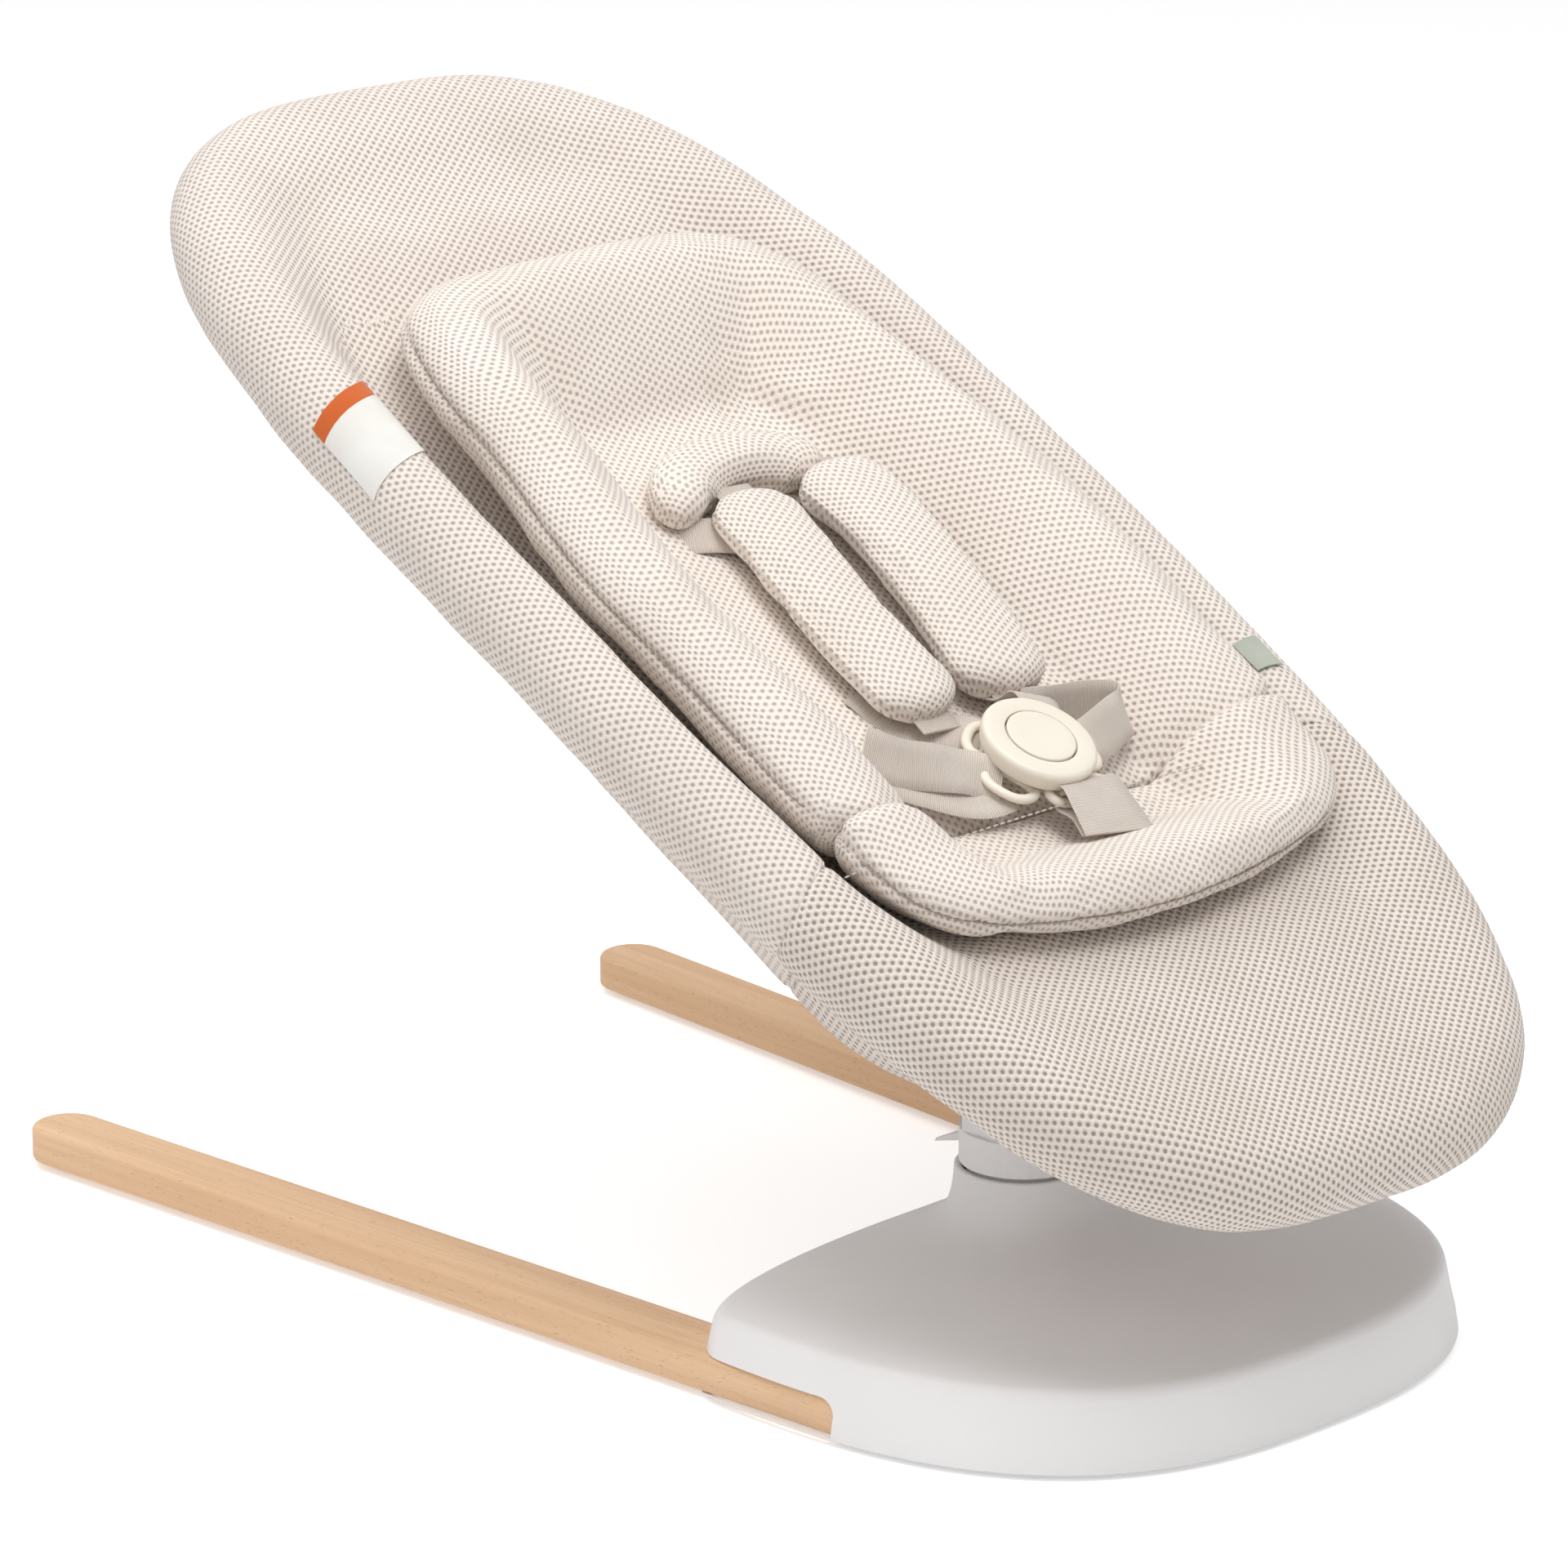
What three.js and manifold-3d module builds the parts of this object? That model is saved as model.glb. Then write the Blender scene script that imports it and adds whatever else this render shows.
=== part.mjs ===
// Baby bouncer seat: a padded reclining seat on a sprung pivot post, a moulded base and two
// wooden floor legs. Millimetres, +Z up, head of the seat toward +Y, foot of the seat toward -Y.
import * as THREE from 'three';
import { mergeVertices } from 'three/addons/utils/BufferGeometryUtils.js';
import Module from 'manifold-3d';

const wasm = await Module();
wasm.setup();

// ---------- driving dimensions ----------
const GAP = 0.3;                     // clearance between pieces that touch in the real object
const ORIGIN_SHIFT = 371.1;          // moves the middle of the whole object to Y = 0

const NECK_Y = -512;                 // vertical axis of the neck
const NECK_RADIUS = 34;
const NECK_TOP = 82;
const NECK_BORE = 31;
const BOUNCE_Z = 62;                 // height of the bounce axle
const RECLINE_Z = 118;               // height of the recline axle

const BASE_HALF_WIDTH = 198;
const BASE_MID_Y = -495;             // where the base is widest
const BASE_FRONT = 230;              // reach in front of BASE_MID_Y
const BASE_REAR = 58;                // reach behind BASE_MID_Y
const BASE_FRONT_POWER = 2.65;       // squareness of the base outline
const BASE_REAR_POWER = 2.3;
const BASE_BOTTOM = 2.5;
const BASE_WALL = 3;

const LEG_REAR_X = 208.3;            // centre of the rounded rear end
const LEG_SPLAY = 0.066;             // radians inward toward the front
const LEG_WIDTH = 39;
const LEG_HEIGHT = 18.4;
const LEG_BOTTOM = 3.5;
const LEG_LENGTH = 571;              // from the rear arc centre to the front end
const CHASSIS_Z = LEG_BOTTOM + LEG_HEIGHT + GAP;

const SEAT_Y = -352.6;               // middle of the seat rim
const SEAT_Z = 364.3;
const SEAT_TILT = 0.49;              // radians, head end up
const SEAT_HEAD = 377;               // rim centreline: reach toward the head
const SEAT_FOOT = 441;               // rim centreline: reach toward the foot
const SEAT_HALF_WIDTH = 186;
const HEAD_POWER = 3.3;              // squareness of the rim at each end
const FOOT_POWER = 3.2;
const SEAT_BOW = -0.000057;          // both ends of the seat droop by this times length squared
const RIM_RADIUS = 26;
const COVER_WALL = 4;
const SEAM_U = -195;                 // where the upper and lower covers meet
const TUBE_RADIUS = 10;
const SLEEVE_OUTER = 16.5;
const YOKE_U = -205;
const YOKE_RADIUS = 9;

// ---------- materials ----------
function finish(color, roughness, metalness) {
  return new THREE.MeshStandardMaterial({ color, roughness, metalness });
}
const LOOK = {
  housing: finish('#e9e7ea', 0.55, 0),
  collar: finish('#f1f0f2', 0.5, 0),
  wood: finish('#dcb083', 0.6, 0),
  rubber: finish('#3a3a3c', 0.85, 0),
  steel: finish('#a9abae', 0.4, 0.9),
  zinc: finish('#c2c4c6', 0.35, 0.9),
  aluminium: finish('#c8cacc', 0.35, 0.85),
  foam: finish('#8d8f92', 0.95, 0),
  mesh: finish('#e4d9ce', 0.95, 0),
  meshFoot: finish('#dfd4c8', 0.95, 0),
  webbing: finish('#d3cac0', 0.9, 0),
  buckle: finish('#e6e1d2', 0.4, 0),
  labelPaper: finish('#e6e4e0', 0.8, 0),
  labelBand: finish('#c8642c', 0.8, 0),
  tag: finish('#a3a89a', 0.85, 0),
};

// ---------- scene graph ----------
const root = new THREE.Group();
const model = new THREE.Group();
model.position.y = ORIGIN_SHIFT;
root.add(model);
const seat = new THREE.Group();
seat.position.set(0, SEAT_Y, SEAT_Z);
seat.rotation.x = SEAT_TILT;
model.add(seat);

function place(name, geometry, material, parent = model) {
  const piece = new THREE.Mesh(geometry, material);
  piece.name = name;
  parent.add(piece);
  return piece;
}

// ---------- solid helpers ----------
function toSolid(geometry) {
  const bare = geometry.clone();
  bare.deleteAttribute('normal');
  bare.deleteAttribute('uv');
  const merged = mergeVertices(bare, 1e-4);
  const mesh = new wasm.Mesh({
    numProp: 3,
    vertProperties: new Float32Array(merged.attributes.position.array),
    triVerts: new Uint32Array(merged.index.array),
  });
  return new wasm.Manifold(mesh);
}

function toGeometry(solid) {
  const mesh = solid.getMesh();
  const geometry = new THREE.BufferGeometry();
  geometry.setAttribute('position', new THREE.BufferAttribute(new Float32Array(mesh.vertProperties), 3));
  geometry.setIndex(new THREE.BufferAttribute(new Uint32Array(mesh.triVerts), 1));
  return geometry;
}

function cut(geometry, ...tools) {
  let solid = toSolid(geometry);
  for (const tool of tools) solid = solid.subtract(toSolid(tool));
  return toGeometry(solid);
}

function join(geometry, ...others) {
  let solid = toSolid(geometry);
  for (const other of others) solid = solid.add(toSolid(other));
  return toGeometry(solid);
}

function common(geometry, other) {
  return toGeometry(toSolid(geometry).intersect(toSolid(other)));
}

function box(sx, sy, sz, x, y, z) {
  return new THREE.BoxGeometry(sx, sy, sz).translate(x, y, z);
}

function upright(radius, z0, z1, x, y, sides = 24) {
  const geometry = new THREE.CylinderGeometry(radius, radius, z1 - z0, sides);
  return geometry.rotateX(Math.PI / 2).translate(x, y, (z0 + z1) / 2);
}

function crosswise(radius, x0, x1, y, z, sides = 24) {
  const geometry = new THREE.CylinderGeometry(radius, radius, x1 - x0, sides);
  return geometry.rotateZ(Math.PI / 2).translate((x0 + x1) / 2, y, z);
}

// A flat outline in the Y-Z plane, given as [y, z] pairs, swept across from x0 to x1.
function sideProfile(points, x0, x1) {
  const shape = new THREE.Shape(points.map(([y, z]) => new THREE.Vector2(y, z)));
  const geometry = new THREE.ExtrudeGeometry(shape, { depth: x1 - x0, bevelEnabled: false });
  const turn = new THREE.Matrix4().makeBasis(
    new THREE.Vector3(0, 1, 0), new THREE.Vector3(0, 0, 1), new THREE.Vector3(1, 0, 0));
  return geometry.applyMatrix4(turn).translate(x0, 0, 0);
}

// A flat outline in the X-Y plane, given as [x, y] pairs, raised from z0 to z1.
function flatPlate(points, z0, z1) {
  const shape = new THREE.Shape(points.map(([x, y]) => new THREE.Vector2(x, y)));
  const geometry = new THREE.ExtrudeGeometry(shape, { depth: z1 - z0, bevelEnabled: false });
  return geometry.translate(0, 0, z0);
}

// Skins rings of points. Every ring has the same count. The ends are closed by flat or domed
// fans, or the last ring joins the first when loop is true.
function skin(rings, loop = false) {
  const count = rings[0].length;
  const positions = [];
  const index = [];
  for (const ring of rings) for (const point of ring) positions.push(...point);
  const bands = loop ? rings.length : rings.length - 1;
  for (let j = 0; j < bands; j += 1) {
    const next = (j + 1) % rings.length;
    for (let i = 0; i < count; i += 1) {
      const k = (i + 1) % count;
      index.push(j * count + i, j * count + k, next * count + k);
      index.push(j * count + i, next * count + k, next * count + i);
    }
  }
  if (!loop) {
    for (const [j, flip] of [[0, true], [rings.length - 1, false]]) {
      const centre = positions.length / 3;
      const mean = [0, 1, 2].map((axis) => rings[j].reduce((sum, p) => sum + p[axis], 0) / count);
      positions.push(...mean);
      for (let i = 0; i < count; i += 1) {
        const k = (i + 1) % count;
        if (flip) index.push(centre, j * count + k, j * count + i);
        else index.push(centre, j * count + i, j * count + k);
      }
    }
  }
  const geometry = new THREE.BufferGeometry();
  geometry.setAttribute('position', new THREE.Float32BufferAttribute(positions, 3));
  geometry.setIndex(index);
  return outward(geometry);
}

// Turns every face round if the solid came out inside-out.
function outward(geometry) {
  const p = geometry.attributes.position;
  const index = geometry.index.array;
  const a = new THREE.Vector3();
  const b = new THREE.Vector3();
  const c = new THREE.Vector3();
  let volume = 0;
  for (let i = 0; i < index.length; i += 3) {
    a.fromBufferAttribute(p, index[i]);
    b.fromBufferAttribute(p, index[i + 1]);
    c.fromBufferAttribute(p, index[i + 2]);
    volume += a.dot(b.cross(c));
  }
  if (volume < 0) {
    for (let i = 0; i < index.length; i += 3) {
      const swap = index[i + 1];
      index[i + 1] = index[i + 2];
      index[i + 2] = swap;
    }
  }
  return geometry;
}

function circleRing(centre, side, over, radius, sides) {
  const ring = [];
  for (let i = 0; i < sides; i += 1) {
    const angle = (2 * Math.PI * i) / sides;
    const point = centre.clone();
    point.addScaledVector(side, radius * Math.cos(angle));
    point.addScaledVector(over, radius * Math.sin(angle));
    ring.push(point.toArray());
  }
  return ring;
}

// A flat strap that follows a curve. Its width lies along the given direction.
function strap(points, width, thickness, across, steps = 12) {
  const curve = new THREE.CatmullRomCurve3(points.map((p) => new THREE.Vector3(...p)));
  const wide = new THREE.Vector3(...across).normalize();
  const rings = [];
  for (let j = 0; j <= steps; j += 1) {
    const centre = curve.getPoint(j / steps);
    const along = curve.getTangent(j / steps);
    const over = new THREE.Vector3().crossVectors(wide, along).normalize();
    const side = new THREE.Vector3().crossVectors(along, over).normalize();
    rings.push([[-1, -1], [1, -1], [1, 1], [-1, 1]].map(([i, k]) => centre.clone()
      .addScaledVector(side, (i * width) / 2)
      .addScaledVector(over, (k * thickness) / 2)
      .toArray()));
  }
  return skin(rings);
}

// A smooth value between [position, value] pairs.
function blendThrough(pairs, at) {
  if (at <= pairs[0][0]) return pairs[0][1];
  for (let i = 1; i < pairs.length; i += 1) {
    const [p1, v1] = pairs[i];
    if (at <= p1) {
      const [p0, v0] = pairs[i - 1];
      return THREE.MathUtils.lerp(v0, v1, THREE.MathUtils.smoothstep(at, p0, p1));
    }
  }
  return pairs[pairs.length - 1][1];
}

function signedPower(value, power) {
  return Math.sign(value) * Math.abs(value) ** power;
}

// ---------- base ----------
function baseOutline(angle, grow) {
  const rear = Math.cos(angle) > 0;
  const reach = rear ? BASE_REAR : BASE_FRONT;
  const power = rear ? BASE_REAR_POWER : BASE_FRONT_POWER;
  const x = (BASE_HALF_WIDTH + grow) * signedPower(Math.sin(angle), 2 / power);
  const y = BASE_MID_Y + (reach + grow) * signedPower(Math.cos(angle), 2 / power);
  return [x, y];
}

const BASE_SIDES = 40;

// One ring of the housing: share 1 lies on the base outline, share 0 on a circle round the neck.
function housingRing(share, radius, grow, z) {
  const ring = [];
  for (let i = 0; i < BASE_SIDES; i += 1) {
    const angle = (2 * Math.PI * (i + 0.5)) / BASE_SIDES;
    const [x, y] = baseOutline(angle, grow);
    const bearing = Math.atan2(x, y - NECK_Y);
    const ringX = radius * Math.sin(bearing);
    const ringY = NECK_Y + radius * Math.cos(bearing);
    ring.push([
      THREE.MathUtils.lerp(ringX, x, share),
      THREE.MathUtils.lerp(ringY, y, share),
      z,
    ]);
  }
  return ring;
}

// The leg's solid, and grown copies of it that cut its seat in the housing.
function legSolid(side, grow) {
  const half = LEG_WIDTH / 2 + grow;
  const top = LEG_BOTTOM + LEG_HEIGHT;
  const outline = [];
  const arcSteps = 10;
  for (let i = 0; i <= arcSteps; i += 1) {
    const angle = (Math.PI * i) / arcSteps;
    outline.push([half * Math.cos(angle), half * Math.sin(angle)]);
  }
  const front = -(LEG_LENGTH + grow);
  const slope = half * 0.35;
  outline.push([-half, front + (side > 0 ? -slope : slope) * 0.9]);
  outline.push([half, front + (side > 0 ? slope : -slope) * 0.9]);
  const plate = flatPlate(outline, LEG_BOTTOM - grow, top + grow);
  plate.rotateZ(-side * LEG_SPLAY);
  return plate.translate(side * LEG_REAR_X, 0, 0);
}

// Each leg lies in a notch that is open to the side, so its outer face shows.
function legNotches(grow) {
  return [-1, 1].flatMap((side) => [0, 8, 16].map((out) => (
    legSolid(side, grow).translate(side * out, 0, 0))));
}

// A point on a leg, a given distance forward of its rear arc centre and inboard of its centreline.
function onLeg(side, forward, inboard = 0) {
  const x = LEG_REAR_X - forward * Math.sin(LEG_SPLAY) - inboard * Math.cos(LEG_SPLAY);
  const y = -forward * Math.cos(LEG_SPLAY) + inboard * Math.sin(LEG_SPLAY);
  return [side * x, y];
}

const LEG_BOLTS = [507, 546];        // bolt distances along the leg
const LEG_BOLT_INSET = 7;            // bolts sit this far inboard of the leg's centreline
const LEG_BOLT_RADIUS = 3;
const LEG_HEAD_RADIUS = 6;
const LEG_HEAD_DEPTH = 4;
const CHASSIS_THICKNESS = 3;
const CHASSIS_FRONT = -562;
const CHASSIS_REAR = -496;
const CHASSIS_REACH = 176;           // half span, onto both legs
const CHEEK_X = 18;                  // inner faces of the axle cheeks
const CHEEK_THICKNESS = 3;
const AXLE_RADIUS = 5;

function makeLegs() {
  for (const [side, word] of [[-1, 'left'], [1, 'right']]) {
    const holes = [];
    LEG_BOLTS.forEach((forward, i) => {
      const [x, y] = onLeg(side, forward, LEG_BOLT_INSET);
      const headTop = LEG_BOTTOM + LEG_HEAD_DEPTH;
      holes.push(upright(LEG_BOLT_RADIUS + GAP, LEG_BOTTOM - 2, CHASSIS_Z + 2, x, y, 12));
      holes.push(upright(LEG_HEAD_RADIUS + GAP, LEG_BOTTOM - 2, headTop + GAP, x, y, 16));
      const shank = upright(LEG_BOLT_RADIUS, LEG_BOTTOM + 1, CHASSIS_Z + CHASSIS_THICKNESS + 5, x, y, 12);
      const head = upright(LEG_HEAD_RADIUS, LEG_BOTTOM + GAP, headTop, x, y, 16);
      place(`leg_bolt_${word}_${i + 1}`, join(shank, head), LOOK.zinc);
    });
    place(`wood_leg_${word}`, cut(legSolid(side, 0), ...holes), LOOK.wood);
    const [padX, padY] = onLeg(side, 6);
    place(`leg_pad_${word}`, upright(11, 0, LEG_BOTTOM - GAP, padX, padY, 20), LOOK.rubber);
  }
}

const HOUSING_SCREWS = [[-120, -640], [120, -640], [-60, -690], [60, -690]];
const BOSS_RADIUS = 6;
const SCREW_RADIUS = 2;
const SCREW_HEAD_RADIUS = 4;
const PAN_BOTTOM = 3;
const PAN_THICKNESS = 2.2;

function makeHousing() {
  const outer = [
    housingRing(1, 0, 0, BASE_BOTTOM),
    housingRing(1, 0, -1.5, 34),
    housingRing(1, 0, -3, 39.5),
    housingRing(1, 0, -7, 42.5),
    housingRing(0.8, 60, -7, 44.5),
    housingRing(0.35, 56, -7, 46.5),
    housingRing(0.08, 50, -7, 48.5),
    housingRing(0, 43, 0, 52),
    housingRing(0, 38, 0, 58),
    housingRing(0, NECK_RADIUS + 1, 0, 68),
    housingRing(0, NECK_RADIUS, 0, NECK_TOP),
  ];
  const inner = [
    housingRing(0, NECK_BORE, 0, NECK_TOP),
    housingRing(0, NECK_BORE, 0, 47),
    housingRing(0.08, 45, -10, 45.5),
    housingRing(0.8, 58, -10, 41.5),
    housingRing(1, 0, -10, 39.5),
    housingRing(1, 0, -BASE_WALL, BASE_BOTTOM),
  ];
  const shell = skin([...outer, ...inner], true);
  const bosses = HOUSING_SCREWS.map(([x, y]) => upright(BOSS_RADIUS, PAN_BOTTOM + PAN_THICKNESS + GAP,
    41.5, x, y, 16));
  const pilots = HOUSING_SCREWS.map(([x, y]) => upright(SCREW_RADIUS + GAP, 0, 26, x, y, 12));
  const solid = cut(join(shell, ...bosses), ...pilots, ...legNotches(GAP));
  place('base_housing', solid, LOOK.housing);
}

function makePan() {
  const outline = [];
  for (let i = 0; i < BASE_SIDES; i += 1) {
    outline.push(baseOutline((2 * Math.PI * (i + 0.5)) / BASE_SIDES, -BASE_WALL - 1));
  }
  const plate = flatPlate(outline, PAN_BOTTOM, PAN_BOTTOM + PAN_THICKNESS);
  const holes = HOUSING_SCREWS.map(([x, y]) => upright(SCREW_RADIUS + GAP, 0, 12, x, y, 12));
  place('base_pan', cut(plate, ...holes, ...legNotches(2 * GAP)), LOOK.housing);
  HOUSING_SCREWS.forEach(([x, y], i) => {
    const shank = upright(SCREW_RADIUS, PAN_BOTTOM - 1, 24, x, y, 12);
    const head = upright(SCREW_HEAD_RADIUS, PAN_BOTTOM - 2.3, PAN_BOTTOM - GAP, x, y, 16);
    place(`pan_screw_${i + 1}`, join(shank, head), LOOK.zinc);
  });
  [[-88, -620], [88, -620], [0, -702]].forEach(([x, y], i) => {
    place(`base_pad_${i + 1}`, upright(12, 0, PAN_BOTTOM - GAP, x, y, 20), LOOK.rubber);
  });
}

function makeChassis() {
  const zTop = CHASSIS_Z + CHASSIS_THICKNESS;
  const depth = CHASSIS_REAR - CHASSIS_FRONT;
  const plate = box(2 * CHASSIS_REACH, depth, CHASSIS_THICKNESS,
    0, CHASSIS_FRONT + depth / 2, CHASSIS_Z + CHASSIS_THICKNESS / 2);
  const cheek = [];
  const steps = 10;
  for (let i = 0; i <= steps; i += 1) {
    const angle = (Math.PI * i) / steps;
    cheek.push([NECK_Y + 12 * Math.cos(angle), BOUNCE_Z + 12 * Math.sin(angle)]);
  }
  cheek.push([NECK_Y - 14, CHASSIS_Z + 1], [NECK_Y + 14, CHASSIS_Z + 1]);
  const cheeks = [-1, 1].map((side) => {
    const x0 = side > 0 ? CHEEK_X : -CHEEK_X - CHEEK_THICKNESS;
    return sideProfile(cheek, x0, x0 + CHEEK_THICKNESS);
  });
  const holes = [crosswise(AXLE_RADIUS + GAP, -30, 30, NECK_Y, BOUNCE_Z)];
  for (const side of [-1, 1]) {
    for (const forward of LEG_BOLTS) {
      const [x, y] = onLeg(side, forward, LEG_BOLT_INSET);
      holes.push(upright(LEG_BOLT_RADIUS + GAP, CHASSIS_Z - 2, zTop + 2, x, y, 12));
    }
  }
  place('steel_chassis', cut(join(plate, ...cheeks), ...holes), LOOK.steel);
  place('bounce_axle', crosswise(AXLE_RADIUS, -29, 29, NECK_Y, BOUNCE_Z), LOOK.zinc);
}

// ---------- sprung post ----------
const POST_RADIUS = 28.2;             // leaves room in the neck for the bounce
const COLLAR_RADIUS = 32;
const COLLAR_BOTTOM = NECK_TOP + 2;
const COLLAR_TOP = 102;
const EAR_INNER = 20;
const EAR_OUTER = 29;
const EAR_RADIUS = 14;
const LEVER_Y = NECK_Y + 22;
const LEVER_Z = 94;
const LEVER_HALF_WIDTH = 9;
const LEVER_PIN_RADIUS = 2;

function makePost() {
  const knuckle = box(2 * (CHEEK_X - 0.7), 26, 34, 0, NECK_Y, 64);
  const barrel = crosswise(13, -(CHEEK_X - 0.7), CHEEK_X - 0.7, NECK_Y, BOUNCE_Z);
  const neckPart = upright(POST_RADIUS, 77, COLLAR_BOTTOM + 1, 0, NECK_Y, 36);
  const collar = upright(COLLAR_RADIUS, COLLAR_BOTTOM, COLLAR_TOP, 0, NECK_Y, 36);
  const ears = [-1, 1].map((side) => {
    const x0 = side > 0 ? EAR_INNER : -EAR_OUTER;
    const x1 = side > 0 ? EAR_OUTER : -EAR_INNER;
    return join(crosswise(EAR_RADIUS, x0, x1, NECK_Y, RECLINE_Z),
      box(x1 - x0, 2 * EAR_RADIUS, RECLINE_Z - COLLAR_TOP + 2, (x0 + x1) / 2, NECK_Y,
        (RECLINE_Z + COLLAR_TOP - 2) / 2));
  });
  const holes = [
    crosswise(AXLE_RADIUS + GAP, -40, 40, NECK_Y, BOUNCE_Z),
    crosswise(AXLE_RADIUS + GAP, -40, 40, NECK_Y, RECLINE_Z),
    crosswise(20, -EAR_INNER, EAR_INNER, NECK_Y, RECLINE_Z),
    box(2 * LEVER_HALF_WIDTH + 2, 40, 30, 0, LEVER_Y + 9, COLLAR_TOP - 1),
    crosswise(LEVER_PIN_RADIUS + GAP, -14, 14, LEVER_Y, LEVER_Z, 12),
  ];
  const floorOfKnuckle = box(80, 80, 10, 0, NECK_Y, 45.5);
  const solid = cut(join(join(knuckle, barrel), neckPart, collar, ...ears), ...holes, floorOfKnuckle);
  place('pivot_post', solid, LOOK.collar);
  place('recline_axle', crosswise(AXLE_RADIUS, -31, 31, NECK_Y, RECLINE_Z), LOOK.zinc);
  place('lever_pin', crosswise(LEVER_PIN_RADIUS, -13.5, 13.5, LEVER_Y, LEVER_Z, 12), LOOK.zinc);
}

function makeLever() {
  const outline = [[-495, 97.5], [-486, 98.5], [-478, 91], [-460, 83.5], [-459, 81.5], [-477, 86.4],
    [-489, 89.5], [-494, 91]];
  const blade = sideProfile(outline.reverse(), -LEVER_HALF_WIDTH, LEVER_HALF_WIDTH);
  const bore = crosswise(LEVER_PIN_RADIUS + GAP, -20, 20, LEVER_Y, LEVER_Z, 12);
  place('recline_lever', cut(blade, bore), LOOK.collar);
}

// A wire coil round the bounce axle, beside one cheek.
function makeBounceSprings() {
  const turns = 3;
  const stepsPerTurn = 10;
  for (const [side, word] of [[-1, 'left'], [1, 'right']]) {
    const points = [];
    for (let i = 0; i <= turns * stepsPerTurn; i += 1) {
      const angle = (2 * Math.PI * i) / stepsPerTurn;
      const x = side * (CHEEK_X + CHEEK_THICKNESS + 1.7 + (1.9 * i) / stepsPerTurn / 1.1);
      points.push(new THREE.Vector3(x, NECK_Y + 8.2 * Math.cos(angle), BOUNCE_Z + 8.2 * Math.sin(angle)));
    }
    const curve = new THREE.CatmullRomCurve3(points);
    const rings = [];
    const steps = turns * stepsPerTurn;
    for (let j = 0; j <= steps; j += 1) {
      const centre = points[j];
      const along = curve.getTangent(j / steps);
      const over = new THREE.Vector3(side, 0, 0);
      const reach = new THREE.Vector3().crossVectors(along, over).normalize();
      rings.push(circleRing(centre, reach, over, 0.75, 5));
    }
    place(`bounce_spring_${word}`, skin(rings), LOOK.steel);
  }
}

// ---------- seat surfaces, in the seat's own frame: x across, y toward the head, z up off it ----------
const BOWL_DEPTH = [[-441, 2], [-340, 6], [-280, 16], [-200, 40], [-90, 62], [60, 58], [180, 40],
  [290, 14], [375, 3]];
const BELLY_DEPTH = [[-441, 0], [-330, 34], [-205, 78], [-60, 78], [100, 52], [250, 18], [375, 0]];
const BOWL_SLOPE = 56;               // how far in from the rim the bowl reaches its depth
const BELLY_SLOPE = 80;

// Distance in from the rim's centreline, measured square to it. A rim-shaped ring through the
// point has a share of the rim's size, and the share's slope turns that into a distance.
function distanceFromRim(x, y) {
  const reach = y > 0 ? SEAT_HEAD : SEAT_FOOT;
  const power = y > 0 ? HEAD_POWER : FOOT_POWER;
  const alongPart = Math.abs(y / reach);
  const acrossPart = Math.abs(x / SEAT_HALF_WIDTH);
  const sum = Math.max(alongPart ** power + acrossPart ** power, 1e-6);
  const share = sum ** (1 / power);
  const slope = (share / sum) * Math.hypot(
    alongPart ** (power - 1) / reach, acrossPart ** (power - 1) / SEAT_HALF_WIDTH);
  return (1 - share) / Math.max(slope, 1e-4);
}

function coverTop(x, y) {
  const fall = THREE.MathUtils.smoothstep(distanceFromRim(x, y), 0, BOWL_SLOPE);
  return RIM_RADIUS - blendThrough(BOWL_DEPTH, y) * fall + SEAT_BOW * y * y;
}

function coverBottom(x, y) {
  const fall = THREE.MathUtils.smoothstep(distanceFromRim(x, y), 0, BELLY_SLOPE);
  return -RIM_RADIUS - blendThrough(BELLY_DEPTH, y) * fall + SEAT_BOW * y * y;
}

function rimPoint(angle) {
  const head = Math.cos(angle) > 0;
  const reach = head ? SEAT_HEAD : SEAT_FOOT;
  const power = head ? HEAD_POWER : FOOT_POWER;
  const x = SEAT_HALF_WIDTH * signedPower(Math.sin(angle), 2 / power);
  const y = reach * signedPower(Math.cos(angle), 2 / power);
  const normal = new THREE.Vector2(
    signedPower(x, power - 1) / SEAT_HALF_WIDTH ** power,
    signedPower(y, power - 1) / reach ** power).normalize();
  return { x, y, normal };
}

const SEAT_SIDES = 40;
const rimAngles = Array.from({ length: SEAT_SIDES }, (_, i) => (2 * Math.PI * (i + 0.5)) / SEAT_SIDES);

// The padded seat envelope, drawn in by inset on every side.
function envelope(inset) {
  const shares = [0.2, 0.5, 0.7, 0.83, 0.93];
  const radius = RIM_RADIUS - inset;
  const rings = [];
  for (const share of shares) {
    rings.push(rimAngles.map((angle) => {
      const { x, y } = rimPoint(angle);
      return [share * x, share * y, coverTop(share * x, share * y) - inset];
    }));
  }
  const arcSteps = 5;
  for (let j = 0; j <= arcSteps; j += 1) {
    const turn = Math.PI / 2 - (Math.PI * j) / arcSteps;
    rings.push(rimAngles.map((angle) => {
      const { x, y, normal } = rimPoint(angle);
      const out = radius * Math.cos(turn);
      return [x + normal.x * out, y + normal.y * out, radius * Math.sin(turn) + SEAT_BOW * y * y];
    }));
  }
  for (const share of [...shares].reverse()) {
    rings.push(rimAngles.map((angle) => {
      const { x, y } = rimPoint(angle);
      return [share * x, share * y, coverBottom(share * x, share * y) + inset];
    }));
  }
  return skin(rings);
}

const HUB_SLOT = { halfWidth: 34, head: -148, foot: -300 };

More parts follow.
